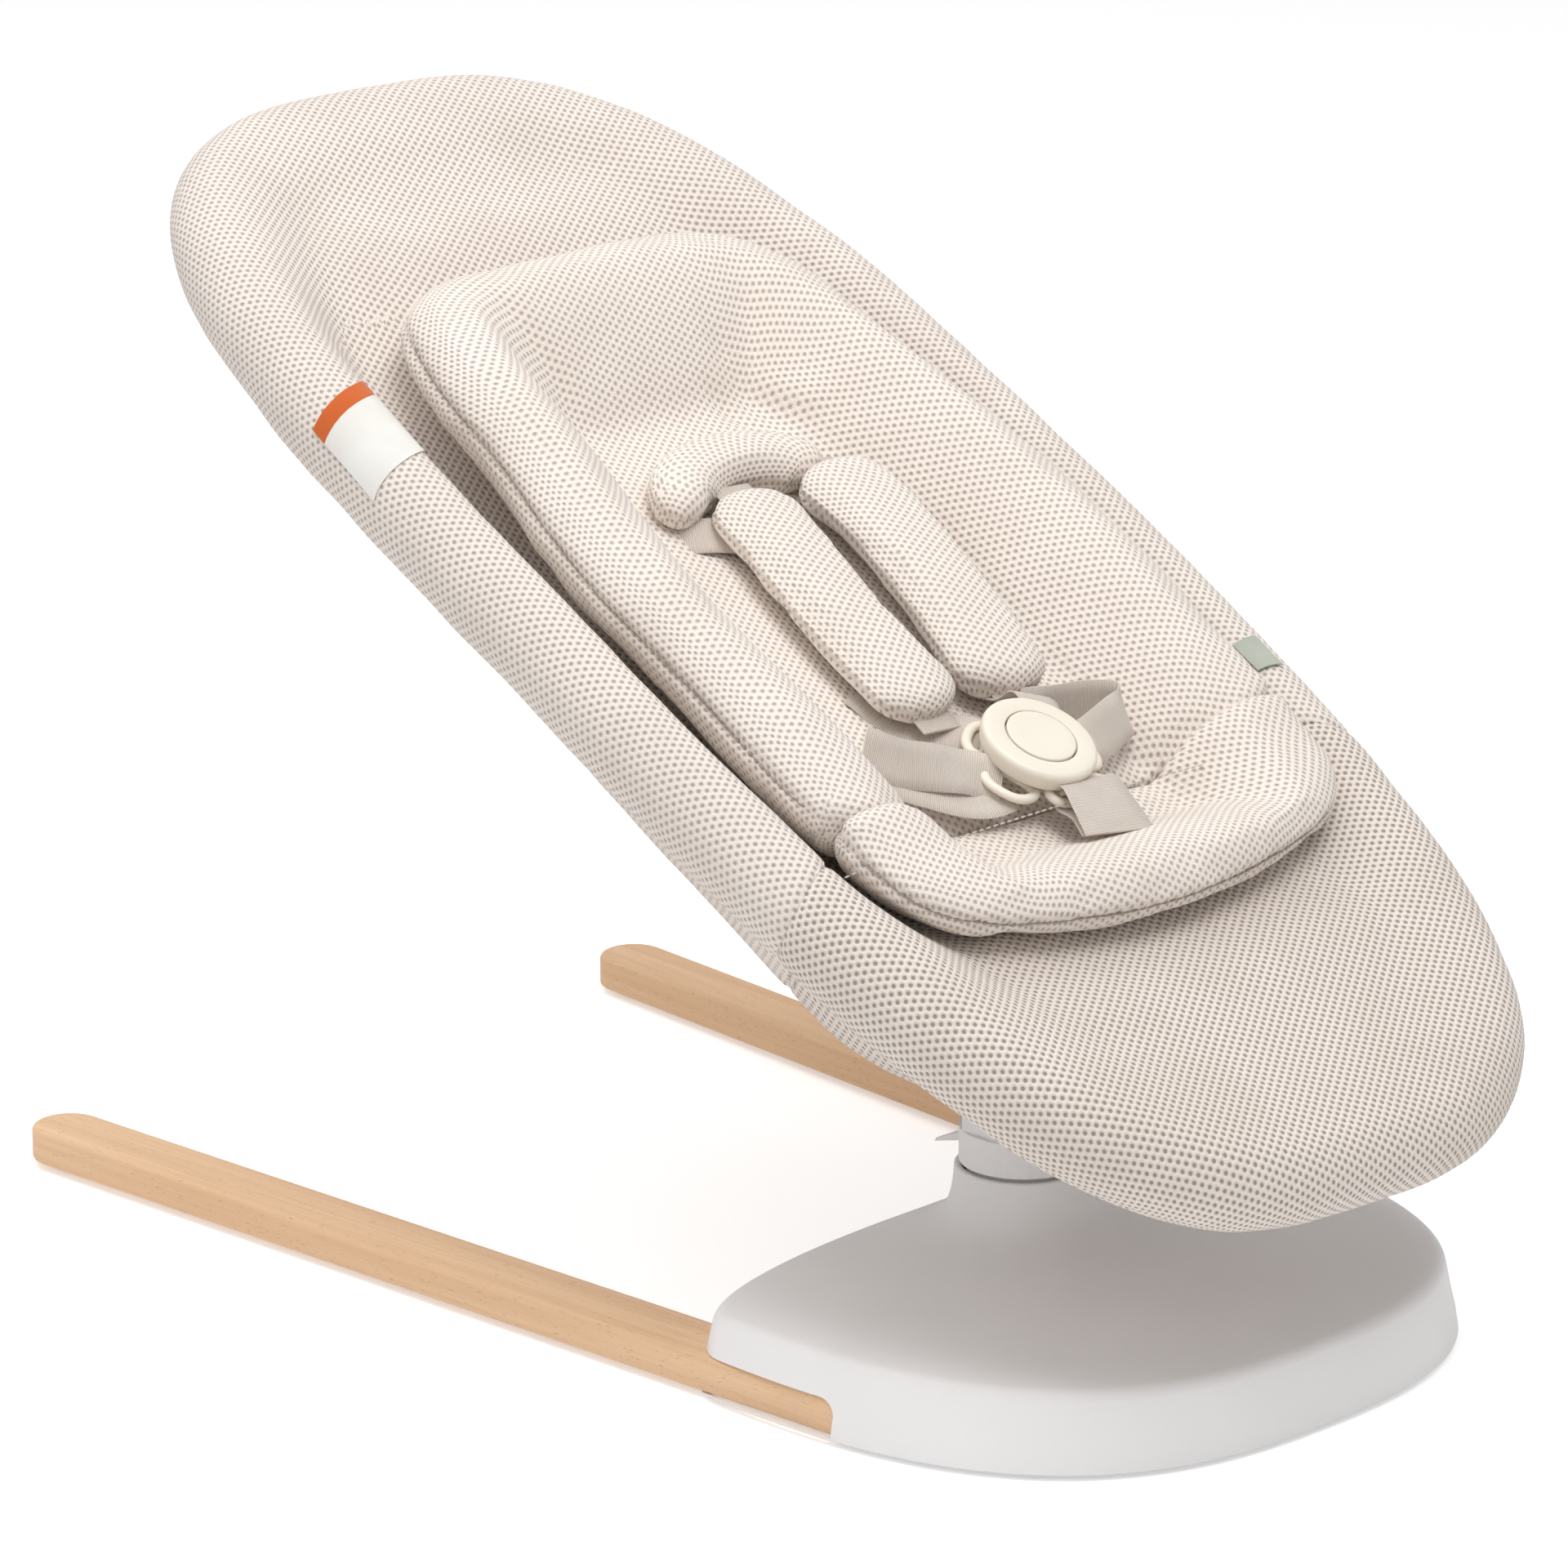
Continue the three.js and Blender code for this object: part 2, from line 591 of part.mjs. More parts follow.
function makeCovers() {
  const length = HUB_SLOT.head - HUB_SLOT.foot;
  const slot = box(2 * HUB_SLOT.halfWidth, length, 100, 0, (HUB_SLOT.head + HUB_SLOT.foot) / 2, -105);
  const shell = cut(envelope(0), envelope(COVER_WALL), slot);
  const upperHalf = box(600, 1000, 600, 0, SEAM_U + 500 + GAP / 2, 0);
  const lowerHalf = box(600, 1000, 600, 0, SEAM_U - 500 - GAP / 2, 0);
  place('seat_cover_upper', common(shell, upperHalf), LOOK.mesh, seat);
  place('seat_cover_lower', common(shell, lowerHalf), LOOK.meshFoot, seat);
}

// ---------- seat frame ----------
// A round ring that runs all the way round the rim.
function rimBar(radius, sides) {
  const rings = rimAngles.map((angle) => {
    const { x, y, normal } = rimPoint(angle);
    const centre = new THREE.Vector3(x, y, SEAT_BOW * y * y);
    const side = new THREE.Vector3(normal.x, normal.y, 0);
    return circleRing(centre, side, new THREE.Vector3(0, 0, 1), radius, sides);
  });
  return skin(rings, true);
}

const CLAMP_LENGTH = 34;
const YOKE_REACH = 172;              // half span of the yoke tube
const YOKE_DROP = 76;

class YokeCurve extends THREE.Curve {
  getPoint(t) {
    const x = YOKE_REACH * (2 * t - 1);
    const rise = 62 * Math.abs(x / YOKE_REACH) ** 2.2;
    return new THREE.Vector3(x, YOKE_U, rise - YOKE_DROP);
  }
}

function yokeBar(radius, sides) {
  const curve = new YokeCurve();
  const steps = 20;
  const rings = [];
  for (let j = 0; j <= steps; j += 1) {
    const centre = curve.getPoint(j / steps);
    const along = curve.getTangent(j / steps);
    const side = new THREE.Vector3(0, 1, 0);
    const over = new THREE.Vector3().crossVectors(along, side).normalize();
    rings.push(circleRing(centre, side, over, radius, sides));
  }
  return skin(rings);
}

function makeSeatFrame() {
  place('frame_tube', rimBar(TUBE_RADIUS, 8), LOOK.aluminium, seat);
  place('yoke_tube', yokeBar(YOKE_RADIUS, 12), LOOK.aluminium, seat);
  const sleeve = cut(rimBar(SLEEVE_OUTER, 8), rimBar(TUBE_RADIUS + 0.8, 8));
  const clearance = CLAMP_LENGTH / 2 + 1;
  const headPart = box(600, 1000, 200, 0, YOKE_U + 500 + clearance, 0);
  const footPart = box(600, 1000, 200, 0, YOKE_U - 500 - clearance, 0);
  place('foam_sleeve_head', common(sleeve, headPart), LOOK.foam, seat);
  place('foam_sleeve_foot', common(sleeve, footPart), LOOK.foam, seat);
  const sideX = Math.abs(rimPoint(Math.acos(-signedPower(-YOKE_U / SEAT_FOOT, FOOT_POWER / 2))).x);
  for (const [side, word] of [[-1, 'left'], [1, 'right']]) {
    const block = join(
      new THREE.CylinderGeometry(16, 16, CLAMP_LENGTH, 20).translate(side * sideX, YOKE_U, -2.4),
      box(16, CLAMP_LENGTH - 6, 17, side * (sideX - 16), YOKE_U, -13));
    const solid = cut(block, rimBar(TUBE_RADIUS + 2 * GAP, 8), yokeBar(YOKE_RADIUS + GAP, 12));
    place(`side_clamp_${word}`, solid, LOOK.housing, seat);
  }
}

// The hub carries the yoke tube and turns on the recline axle.
const HUB_HALF_WIDTH = 18;

function makeHub() {
  const toSeat = new THREE.Matrix4().makeRotationX(-SEAT_TILT);
  const axis = new THREE.Vector3(0, NECK_Y - SEAT_Y, RECLINE_Z - SEAT_Z).applyMatrix4(toSeat);
  const disc = crosswise(17, -HUB_HALF_WIDTH, HUB_HALF_WIDTH, axis.y, axis.z, 28);
  const arm = sideProfile([
    [axis.y - 13, axis.z + 6], [axis.y + 10, axis.z - 6], [YOKE_U + 14, -YOKE_DROP - 14],
    [YOKE_U + 16, -YOKE_DROP + 10], [YOKE_U - 16, -YOKE_DROP + 12], [YOKE_U - 22, -YOKE_DROP - 8],
  ], -HUB_HALF_WIDTH + 1, HUB_HALF_WIDTH - 1);
  const saddle = box(64, 30, 30, 0, YOKE_U, -YOKE_DROP);
  const bore = crosswise(AXLE_RADIUS + GAP, -60, 60, axis.y, axis.z);
  const screwHoles = [-24, 24].map((x) => upright(2.3, -YOKE_DROP - 40, -YOKE_DROP - 9.4, x, YOKE_U, 12));
  const solid = cut(join(disc, arm, saddle), bore, yokeBar(YOKE_RADIUS + GAP, 12), ...screwHoles);
  place('seat_hub', solid, LOOK.housing, seat);
  [-24, 24].forEach((x, i) => {
    const shank = upright(2, -YOKE_DROP - 16, -YOKE_DROP - 9.8, x, YOKE_U, 12);
    const head = upright(3.8, -YOKE_DROP - 17.6, -YOKE_DROP - 15.3, x, YOKE_U, 16);
    place(`hub_screw_${i + 1}`, join(shank, head), LOOK.zinc, seat);
  });
}

// ---------- newborn insert ----------
// Half outlines as [across, along] points from the head end down to the foot end.
const INSERT_BACK = [[0, 231], [50, 230], [92, 225], [119, 208], [132, 184], [142, 150], [150, 95],
  [160, 40], [166, -10], [166, -80], [165, -140], [159, -188], [120, -194], [60, -194], [0, -194]];
const INSERT_SEAT = [[0, -195], [60, -195], [120, -195], [157, -197], [159, -226], [150, -254],
  [128, -273], [97, -284], [60, -292], [0, -297]];

// The whole outline, rounded through a half outline's points and their mirror images.
function roundOutline(half, count) {
  const left = half.slice(1, -1).reverse().map(([x, y]) => [-x, y]);
  const points = [...half, ...left].map(([x, y]) => new THREE.Vector3(x, y, 0));
  const curve = new THREE.CatmullRomCurve3(points, true, 'centripetal');
  return curve.getSpacedPoints(count).slice(0, -1).map((point) => [point.x, point.y]);
}

// Heights off the seat frame's plane, at points along the seat.
const INSERT_SEAM = [[-300, 24], [-200, 27], [100, 27], [200, 23], [235, 17]];
const BOLSTER_TOP = [[-302, 36], [-240, 39], [-194, 43], [-60, 46], [150, 46], [235, 40]];
const HOLLOW_TOP = [[-250, 4], [-190, -3], [-60, -2], [60, -2], [120, -4]];
const INSERT_CLEARANCE = 10;         // between the insert and the cover under it
const INSERT_DEPTH = 40;             // thickness of its padding, where there is room
const EDGE_CORNER = 18;              // how far in from the edge the top turns over
// How far in each bolster stays at its full height, and how far in it has come down to the hollow.
const SIDE_BOLSTER = [30, 84];
const HEAD_BOLSTER = [30, 112];
const FOOT_BOLSTER = [18, 70];

// How much of the bolster's height is left this far in from the edge.
function bolsterShare(distance, [start, end]) {
  return 1 - THREE.MathUtils.clamp((distance - start) / (end - start), 0, 1) ** 1.4;
}

// Distances in from a pad's side, and from its free end at the head or the foot.
function insertDistances(half, x, y) {
  let edge = half[0][0];
  for (let i = 1; i < half.length; i += 1) {
    const [x0, y0] = half[i - 1];
    const [x1, y1] = half[i];
    if ((y - y0) * (y - y1) <= 0 && y0 !== y1) {
      edge = Math.max(edge, THREE.MathUtils.lerp(x0, x1, (y - y0) / (y1 - y0)));
    }
  }
  return [edge - Math.abs(x), half === INSERT_BACK ? half[0][1] - y : y - half[half.length - 1][1]];
}

function insertTop(half, x, y) {
  const [side, end] = insertDistances(half, x, y);
  const endBolster = half === INSERT_BACK ? HEAD_BOLSTER : FOOT_BOLSTER;
  const share = Math.max(bolsterShare(side, SIDE_BOLSTER), bolsterShare(end, endBolster));
  const hollow = blendThrough(HOLLOW_TOP, y);
  return hollow + (blendThrough(BOLSTER_TOP, y) - hollow) * share;
}

// A pad between its two surfaces, which meet in a seam round the side.
function pad(half, middle) {
  const shares = [0.2, 0.4, 0.6, 0.76, 0.88, 0.96, 1];
  const outline = roundOutline(half, 40);
  const ringAt = (share, over) => outline.map(([edgeX, edgeY]) => {
    const x = share * edgeX;
    const y = middle + share * (edgeY - middle);
    const inset = (1 - share) * Math.hypot(edgeX, edgeY - middle);
    const turn = THREE.MathUtils.clamp(inset / EDGE_CORNER, 0, 1);
    const roundness = Math.sqrt(1 - (1 - turn) ** 2);
    const top = insertTop(half, x, y);
    const seam = Math.min(blendThrough(INSERT_SEAM, y), top - 4);
    const under = Math.max(coverTop(x, y) + INSERT_CLEARANCE, top - INSERT_DEPTH);
    const face = over ? top : Math.min(under, seam - 4);
    return [x, y, seam + (over ? 1 : -1) + (face - seam) * roundness];
  });
  const topRings = shares.map((share) => ringAt(share, true));
  const bottomRings = [...shares].reverse().map((share) => ringAt(share, false));
  return skin([...topRings, ...bottomRings]);
}

function makeInsert() {
  place('insert_back', pad(INSERT_BACK, 20), LOOK.mesh, seat);
  place('insert_seat', pad(INSERT_SEAT, -236), LOOK.mesh, seat);
}

// ---------- harness ----------
const BUCKLE = { x: 0, y: -176, z: 31 };
const BUCKLE_RADIUS = 31;
const BUCKLE_DEPTH = 14;
const BUTTON_RADIUS = 18.4;
const BUTTON_DEPTH = 4.6;
const BUTTON_TRAVEL = 2.5;
const WEBBING_THICKNESS = 1.6;

function makeHarness() {
  const shoulders = [
    { word: 'left', top: [-24, 42], bottom: [-35, -128] },
    { word: 'right', top: [55, 40], bottom: [27, -134] },
  ];
  for (const { word, top, bottom } of shoulders) {
    const direction = new THREE.Vector2(top[0] - bottom[0], top[1] - bottom[1]);
    const length = direction.length();
    const turn = Math.atan2(-direction.x, direction.y);
    const body = new THREE.SphereGeometry(1, 20, 12).toNonIndexed();
    const p = body.attributes.position;
    for (let i = 0; i < p.count; i += 1) {
      p.setXYZ(i, 25 * signedPower(p.getX(i), 0.6), (length / 2) * signedPower(p.getY(i), 0.5),
        11 * signedPower(p.getZ(i), 0.8));
    }
    const lift = 16;
    body.rotateZ(turn).translate((top[0] + bottom[0]) / 2, (top[1] + bottom[1]) / 2, lift);
    const run = (grow, start, end) => strap([
      [bottom[0] + (top[0] - bottom[0]) * start, bottom[1] + (top[1] - bottom[1]) * start, lift],
      [(top[0] + bottom[0]) / 2, (top[1] + bottom[1]) / 2, lift],
      [bottom[0] + (top[0] - bottom[0]) * end, bottom[1] + (top[1] - bottom[1]) * end, lift],
    ], 25 + grow, WEBBING_THICKNESS + grow, [Math.cos(turn), Math.sin(turn), 0], 4);
    place(`shoulder_pad_${word}`, cut(body, run(1, -0.2, 1.2)), LOOK.mesh, seat);
    place(`shoulder_strap_${word}`, run(0, -0.012, 1.0), LOOK.webbing, seat);
  }
  const arch = [];
  const steps = 14;
  for (let i = 0; i <= steps; i += 1) {
    const angle = (Math.PI * i) / steps;
    arch.push([-4 + 62 * Math.cos(angle), 47 + 36 * Math.sin(angle)]);
  }
  for (let i = steps; i >= 0; i -= 1) {
    const angle = (Math.PI * i) / steps;
    arch.push([-4 + 32 * Math.cos(angle), 43 + 9 * Math.sin(angle)]);
  }
  place('harness_yoke', flatPlate(arch, 3.5, 20.5), LOOK.mesh, seat);

  const { x, y, z } = BUCKLE;
  const body = upright(BUCKLE_RADIUS, z - BUCKLE_DEPTH, z, x, y, 36);
  const well = upright(BUTTON_RADIUS + 2 * GAP, z - BUTTON_DEPTH - BUTTON_TRAVEL - 2 * GAP, z + 5, x, y, 28);
  place('buckle_body', cut(body, well), LOOK.buckle, seat);
  place('buckle_button', upright(BUTTON_RADIUS, z - BUTTON_DEPTH, z + 1, x, y, 28), LOOK.buckle, seat);

  const corners = [
    { word: 'upper_left', at: [-27, -146], turn: 0.55 },
    { word: 'upper_right', at: [29, -149], turn: -0.55 },
    { word: 'lower_left', at: [-36, -190], turn: 1.9 },
    { word: 'lower_right', at: [38, -184], turn: -1.6 },
    { word: 'crotch', at: [4, -213], turn: Math.PI },
  ];
  for (const { word, at, turn } of corners) {
    const wide = word === 'crotch' ? 44 : 32;
    const frame = box(wide, 11, 3.4, 0, 0, 0);
    const window = box(wide - 6, 4, 10, 0, 1, 0);
    const tongue = cut(frame, window).rotateZ(turn).translate(at[0], at[1], z - BUCKLE_DEPTH - 2.2);
    place(`strap_loop_${word}`, tongue, LOOK.buckle, seat);
  }
  place('waist_strap_left', strap([[-56, -184, z - 9], [-67, -170, 29], [-84, -152, 28]],
    25, WEBBING_THICKNESS, [0.3, 1, 0.1], 6), LOOK.webbing, seat);
  place('waist_strap_right', strap([[55, -180, z - 19], [68, -160, 20], [86, -144, 23]],
    25, WEBBING_THICKNESS, [-0.2, 1, 0.1], 6), LOOK.webbing, seat);
  place('crotch_strap', strap([[4, -219.5, z - 19.5], [5, -232, 22], [6, -246, 26]],
    38, WEBBING_THICKNESS, [1, 0, 0], 6), LOOK.webbing, seat);
}

makeLegs();
makeHousing();
makePan();
makeChassis();
makePost();
makeLever();
makeBounceSprings();
makeCovers();
makeSeatFrame();
makeHub();
makeInsert();
makeHarness();

export default root;
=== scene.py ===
"""Looks of the baby bouncer: soft goods, smooth shells, materials, light and camera.

Metres, +Z up, head of the seat toward +Y. Seat pieces are worked out in the seat's own frame, in
millimetres: x across, y toward the head, z up off the seat. to_world() turns that into metres.
"""
import math

import bmesh
import bpy
import numpy as np
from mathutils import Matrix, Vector, kdtree, noise


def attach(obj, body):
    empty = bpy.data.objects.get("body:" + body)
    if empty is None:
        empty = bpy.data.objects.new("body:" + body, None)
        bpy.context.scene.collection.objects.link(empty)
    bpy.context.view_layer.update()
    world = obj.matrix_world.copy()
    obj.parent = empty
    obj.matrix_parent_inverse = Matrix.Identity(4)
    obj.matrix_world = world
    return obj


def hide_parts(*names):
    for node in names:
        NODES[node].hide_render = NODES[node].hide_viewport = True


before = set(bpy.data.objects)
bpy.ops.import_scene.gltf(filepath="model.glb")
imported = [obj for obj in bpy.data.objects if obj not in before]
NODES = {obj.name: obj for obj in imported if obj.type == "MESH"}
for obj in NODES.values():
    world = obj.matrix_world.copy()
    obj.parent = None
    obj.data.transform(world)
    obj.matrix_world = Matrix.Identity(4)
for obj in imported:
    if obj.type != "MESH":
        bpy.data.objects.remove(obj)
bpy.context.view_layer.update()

# ---------- camera ----------
CAMERA_AT = Vector((-2.4020, -2.4417, 1.3033))
CAMERA_TARGET = Vector((0.55242, 0.60055, 0.0))
CAMERA_LENS = 160.4                  # millimetres, on a sensor 36 wide
camera = bpy.data.objects.new("camera", bpy.data.cameras.new("camera"))
bpy.context.scene.collection.objects.link(camera)
camera.location = CAMERA_AT
camera.rotation_euler = (CAMERA_TARGET - CAMERA_AT).to_track_quat("-Z", "Y").to_euler()
camera.data.lens = CAMERA_LENS
camera.data.sensor_width = 36.0
camera.data.clip_end = 50.0
bpy.context.scene.camera = camera

# ---------- the seat's frame ----------
MM = 0.001
SEAT_ORIGIN = np.array([0.0, 0.0185, 0.3643])
SEAT_TILT = 0.49
COS, SIN = math.cos(SEAT_TILT), math.sin(SEAT_TILT)
MODEL_SHIFT = 371.1                  # base measures are taken from the legs' rear ends

SEAT_HEAD = 377.0                    # the rim's centreline, from the seat's origin
SEAT_FOOT = 441.0
HALF_WIDTH = 186.0
HEAD_POWER = 3.3
FOOT_POWER = 3.2
BOW = -0.000057                      # the rim bends down toward both ends
RIM = 26.0                           # radius of the padded rim
BOWL_DEPTH = [(-441, 2), (-340, 6), (-280, 16), (-200, 40), (-90, 62), (60, 58), (180, 40),
              (290, 14), (375, 3)]
BELLY_DEPTH = [(-441, 0), (-330, 34), (-205, 78), (-60, 78), (100, 52), (250, 18), (375, 0)]
BOWL_SLOPE = 56.0
BELLY_SLOPE = 80.0
SLOT_HALF_WIDTH = 34.0               # opening under the seat for the post
SLOT_HEAD = -148.0
SLOT_FOOT = -300.0
SLOT_TOP = -60.0


def to_world(points):
    p = np.asarray(points, float)
    out = np.empty_like(p)
    out[..., 0] = p[..., 0]
    out[..., 1] = p[..., 1] * COS - p[..., 2] * SIN
    out[..., 2] = p[..., 1] * SIN + p[..., 2] * COS
    return out * MM + SEAT_ORIGIN


def to_seat(points):
    p = (np.asarray(points, float) - SEAT_ORIGIN) / MM
    out = np.empty_like(p)
    out[..., 0] = p[..., 0]
    out[..., 1] = p[..., 1] * COS + p[..., 2] * SIN
    out[..., 2] = -p[..., 1] * SIN + p[..., 2] * COS
    return out


def base_to_world(points):
    p = np.asarray(points, float)
    return (p + np.array([0.0, MODEL_SHIFT, 0.0])) * MM


# ---------- numbers ----------
def smoothstep(value, low, high):
    t = np.clip((np.asarray(value, float) - low) / (high - low), 0.0, 1.0)
    return t * t * (3.0 - 2.0 * t)


def blend_through(pairs, at):
    at = np.asarray(at, float)
    result = np.full(at.shape, float(pairs[0][1]))
    for (p0, v0), (p1, v1) in zip(pairs, pairs[1:]):
        inside = at > p0
        result = np.where(inside, v0 + (v1 - v0) * smoothstep(at, p0, p1), result)
    return result


def signed_power(value, power):
    return np.sign(value) * np.abs(value) ** power


def unit(rows):
    return rows / np.linalg.norm(rows, axis=1, keepdims=True)


def travelled(line):
    """How far along a line each of its points is."""
    return np.concatenate([[0], np.cumsum(np.linalg.norm(np.diff(line, axis=0), axis=1))])


class Oval:
    """A superellipse in plan, with one reach and power toward +Y and another toward -Y."""

    def __init__(self, half_width, reaches, powers):
        self.half_width = half_width
        self.reaches = reaches
        self.powers = powers

    def terms(self, y):
        return np.where(y > 0, *self.reaches), np.where(y > 0, *self.powers)

    def around(self, count):
        turn = np.linspace(0, 2 * math.pi, count)
        reach, power = self.terms(np.cos(turn))
        return (self.half_width * signed_power(np.sin(turn), 2 / power),
                reach * signed_power(np.cos(turn), 2 / power))

    def normal(self, x, y):
        reach, power = self.terms(y)
        nx = signed_power(x / self.half_width, power - 1) / self.half_width
        ny = signed_power(y / reach, power - 1) / reach
        size = np.maximum(np.hypot(nx, ny), 1e-12)
        return nx / size, ny / size


SEAT_OVAL = Oval(HALF_WIDTH, (SEAT_HEAD, SEAT_FOOT), (HEAD_POWER, FOOT_POWER))


def rim_distance(x, y):
    """Distance in from the rim's centreline, measured square to it; below 0 outside it."""
    reach, power = SEAT_OVAL.terms(y)
    along = np.abs(y / reach)
    across = np.abs(x / HALF_WIDTH)
    total = np.maximum(along ** power + across ** power, 1e-6)
    share = total ** (1 / power)
    slope = (share / total) * np.hypot(
        along ** (power - 1) / reach, across ** (power - 1) / HALF_WIDTH)
    return (1 - share) / np.maximum(slope, 1e-4)


def cover_top(x, y):
    fall = smoothstep(rim_distance(x, y), 0, BOWL_SLOPE)
    return RIM - blend_through(BOWL_DEPTH, y) * fall + BOW * y * y


def fair_through(pairs, at):
    """A curve through (place, value) pairs that never overshoots them and has no flats between."""
    place, value = np.array(pairs, float).T
    step = np.diff(place)
    slope = np.diff(value) / step
    rising = slope[:-1] * slope[1:] > 0
    mean = 2 * slope[:-1] * slope[1:] / np.where(rising, slope[:-1] + slope[1:], 1.0)
    tangent = np.concatenate([[0.0], np.where(rising, mean, 0.0), [0.0]])
    at = np.clip(np.asarray(at, float), place[0], place[-1])
    k = np.clip(np.searchsorted(place, at, side="right") - 1, 0, len(step) - 1)
    t = (at - place[k]) / step[k]
    return (value[k] * (1 + 2 * t) * (1 - t) ** 2 + value[k + 1] * t * t * (3 - 2 * t)
            + step[k] * (tangent[k] * t * (1 - t) ** 2 - tangent[k + 1] * t * t * (1 - t)))


def cover_bottom(x, y):
    fall = smoothstep(rim_distance(x, y), 0, BELLY_SLOPE)
    return -RIM - fair_through(BELLY_DEPTH, y) * fall + BOW * y * y


def rim_line(spacing):
    """Points round the rim's centreline, spaced by spacing(x, y) millimetres."""
    x, y = SEAT_OVAL.around(24001)
    step = np.hypot(np.diff(x), np.diff(y))
    middle_x, middle_y = (x[1:] + x[:-1]) / 2, (y[1:] + y[:-1]) / 2
    weight = np.concatenate([[0], np.cumsum(step / spacing(middle_x, middle_y))])
    count = int(round(weight[-1]))
    at = np.arange(count) * weight[-1] / count
    return np.interp(at, weight, x), np.interp(at, weight, y)


# ---------- meshes ----------
def add_object(name, mesh):
    obj = bpy.data.objects.new(name, mesh)
    bpy.context.scene.collection.objects.link(obj)
    return obj


def mesh_object(name, vertices, faces):
    mesh = bpy.data.meshes.new(name)
    mesh.from_pydata([tuple(v) for v in np.asarray(vertices)], [], faces)
    mesh.validate()
    mesh.update()
    mesh.shade_smooth()
    return add_object(name, mesh)


def band_faces(rings, count, wrap=False):
    """Faces between closed rings of count points. With wrap, the last ring joins the first."""
    faces = []
    for j in range(rings - 1):
        for i in range(count):
            k = (i + 1) % count
            a = j * count
            faces.append((a + i, a + k, a + count + k, a + count + i))
    if wrap:
        last = (rings - 1) * count
        faces += [(last + i, last + (i + 1) % count, (i + 1) % count, i) for i in range(count)]
    return faces


def face_outward(obj):
    bm = bmesh.new()
    bm.from_mesh(obj.data)
    bmesh.ops.recalc_face_normals(bm, faces=bm.faces)
    bm.to_mesh(obj.data)
    bm.free()


def apply_modifiers(obj):
    graph = bpy.context.evaluated_depsgraph_get()
    mesh = bpy.data.meshes.new_from_object(obj.evaluated_get(graph), depsgraph=graph)
    old = obj.data
    obj.modifiers.clear()
    obj.data = mesh
    bpy.data.meshes.remove(old)


def coordinates(obj, field="co"):
    values = np.empty(len(obj.data.vertices) * 3, np.float32)
    obj.data.vertices.foreach_get(field, values)
    return values.reshape(-1, 3).astype(float)


def normals(obj):
    return coordinates(obj, "normal")


def set_coordinates(obj, points):
    obj.data.vertices.foreach_set("co", np.asarray(points, np.float32).ravel())
    obj.data.update()


def swell(obj, amount):
    """Moves every point out along its normal, by amount in millimetres."""
    set_coordinates(obj, coordinates(obj) + normals(obj) * (amount * MM)[:, None])


def corner_points(mesh):
    """The point that each face corner is on."""
    corner = np.empty(len(mesh.loops), np.int32)
    mesh.loops.foreach_get("vertex_index", corner)
    return corner


def write_corners(obj, values):
    """Stores a flat map of the cloth, in millimetres, on every face corner."""
    mesh = obj.data
    layer = mesh.uv_layers.get("weave") or mesh.uv_layers.new(name="weave")
    layer.data.foreach_set("uv", values.astype(np.float32).ravel())


def write_map(obj, per_point):
    write_corners(obj, np.asarray(per_point, np.float32)[corner_points(obj.data)])


def thicken(obj, thickness, offset):
    wall = obj.modifiers.new("wall", "SOLIDIFY")
    wall.thickness = thickness * MM
    wall.offset = offset
    apply_modifiers(obj)


def sharpen(obj, degrees=35):
    obj.data.shade_smooth()
    obj.data.set_sharp_from_angle(angle=math.radians(degrees))


def soft_noise(points, size, seed):
    """Smooth random values of about -1 to 1, one for each point in millimetres."""
    offset = Vector((seed * 17.3, seed * 5.1, seed * 9.7))
    return np.array([noise.noise(Vector(p) / size + offset) for p in points])


# ---------- material nodes ----------
def linear(hex_colour):
    values = [int(hex_colour[i:i + 2], 16) / 255 for i in (1, 3, 5)]
    return tuple(v / 12.92 if v <= 0.04045 else ((v + 0.055) / 1.055) ** 2.4 for v in values) + (1.0,)


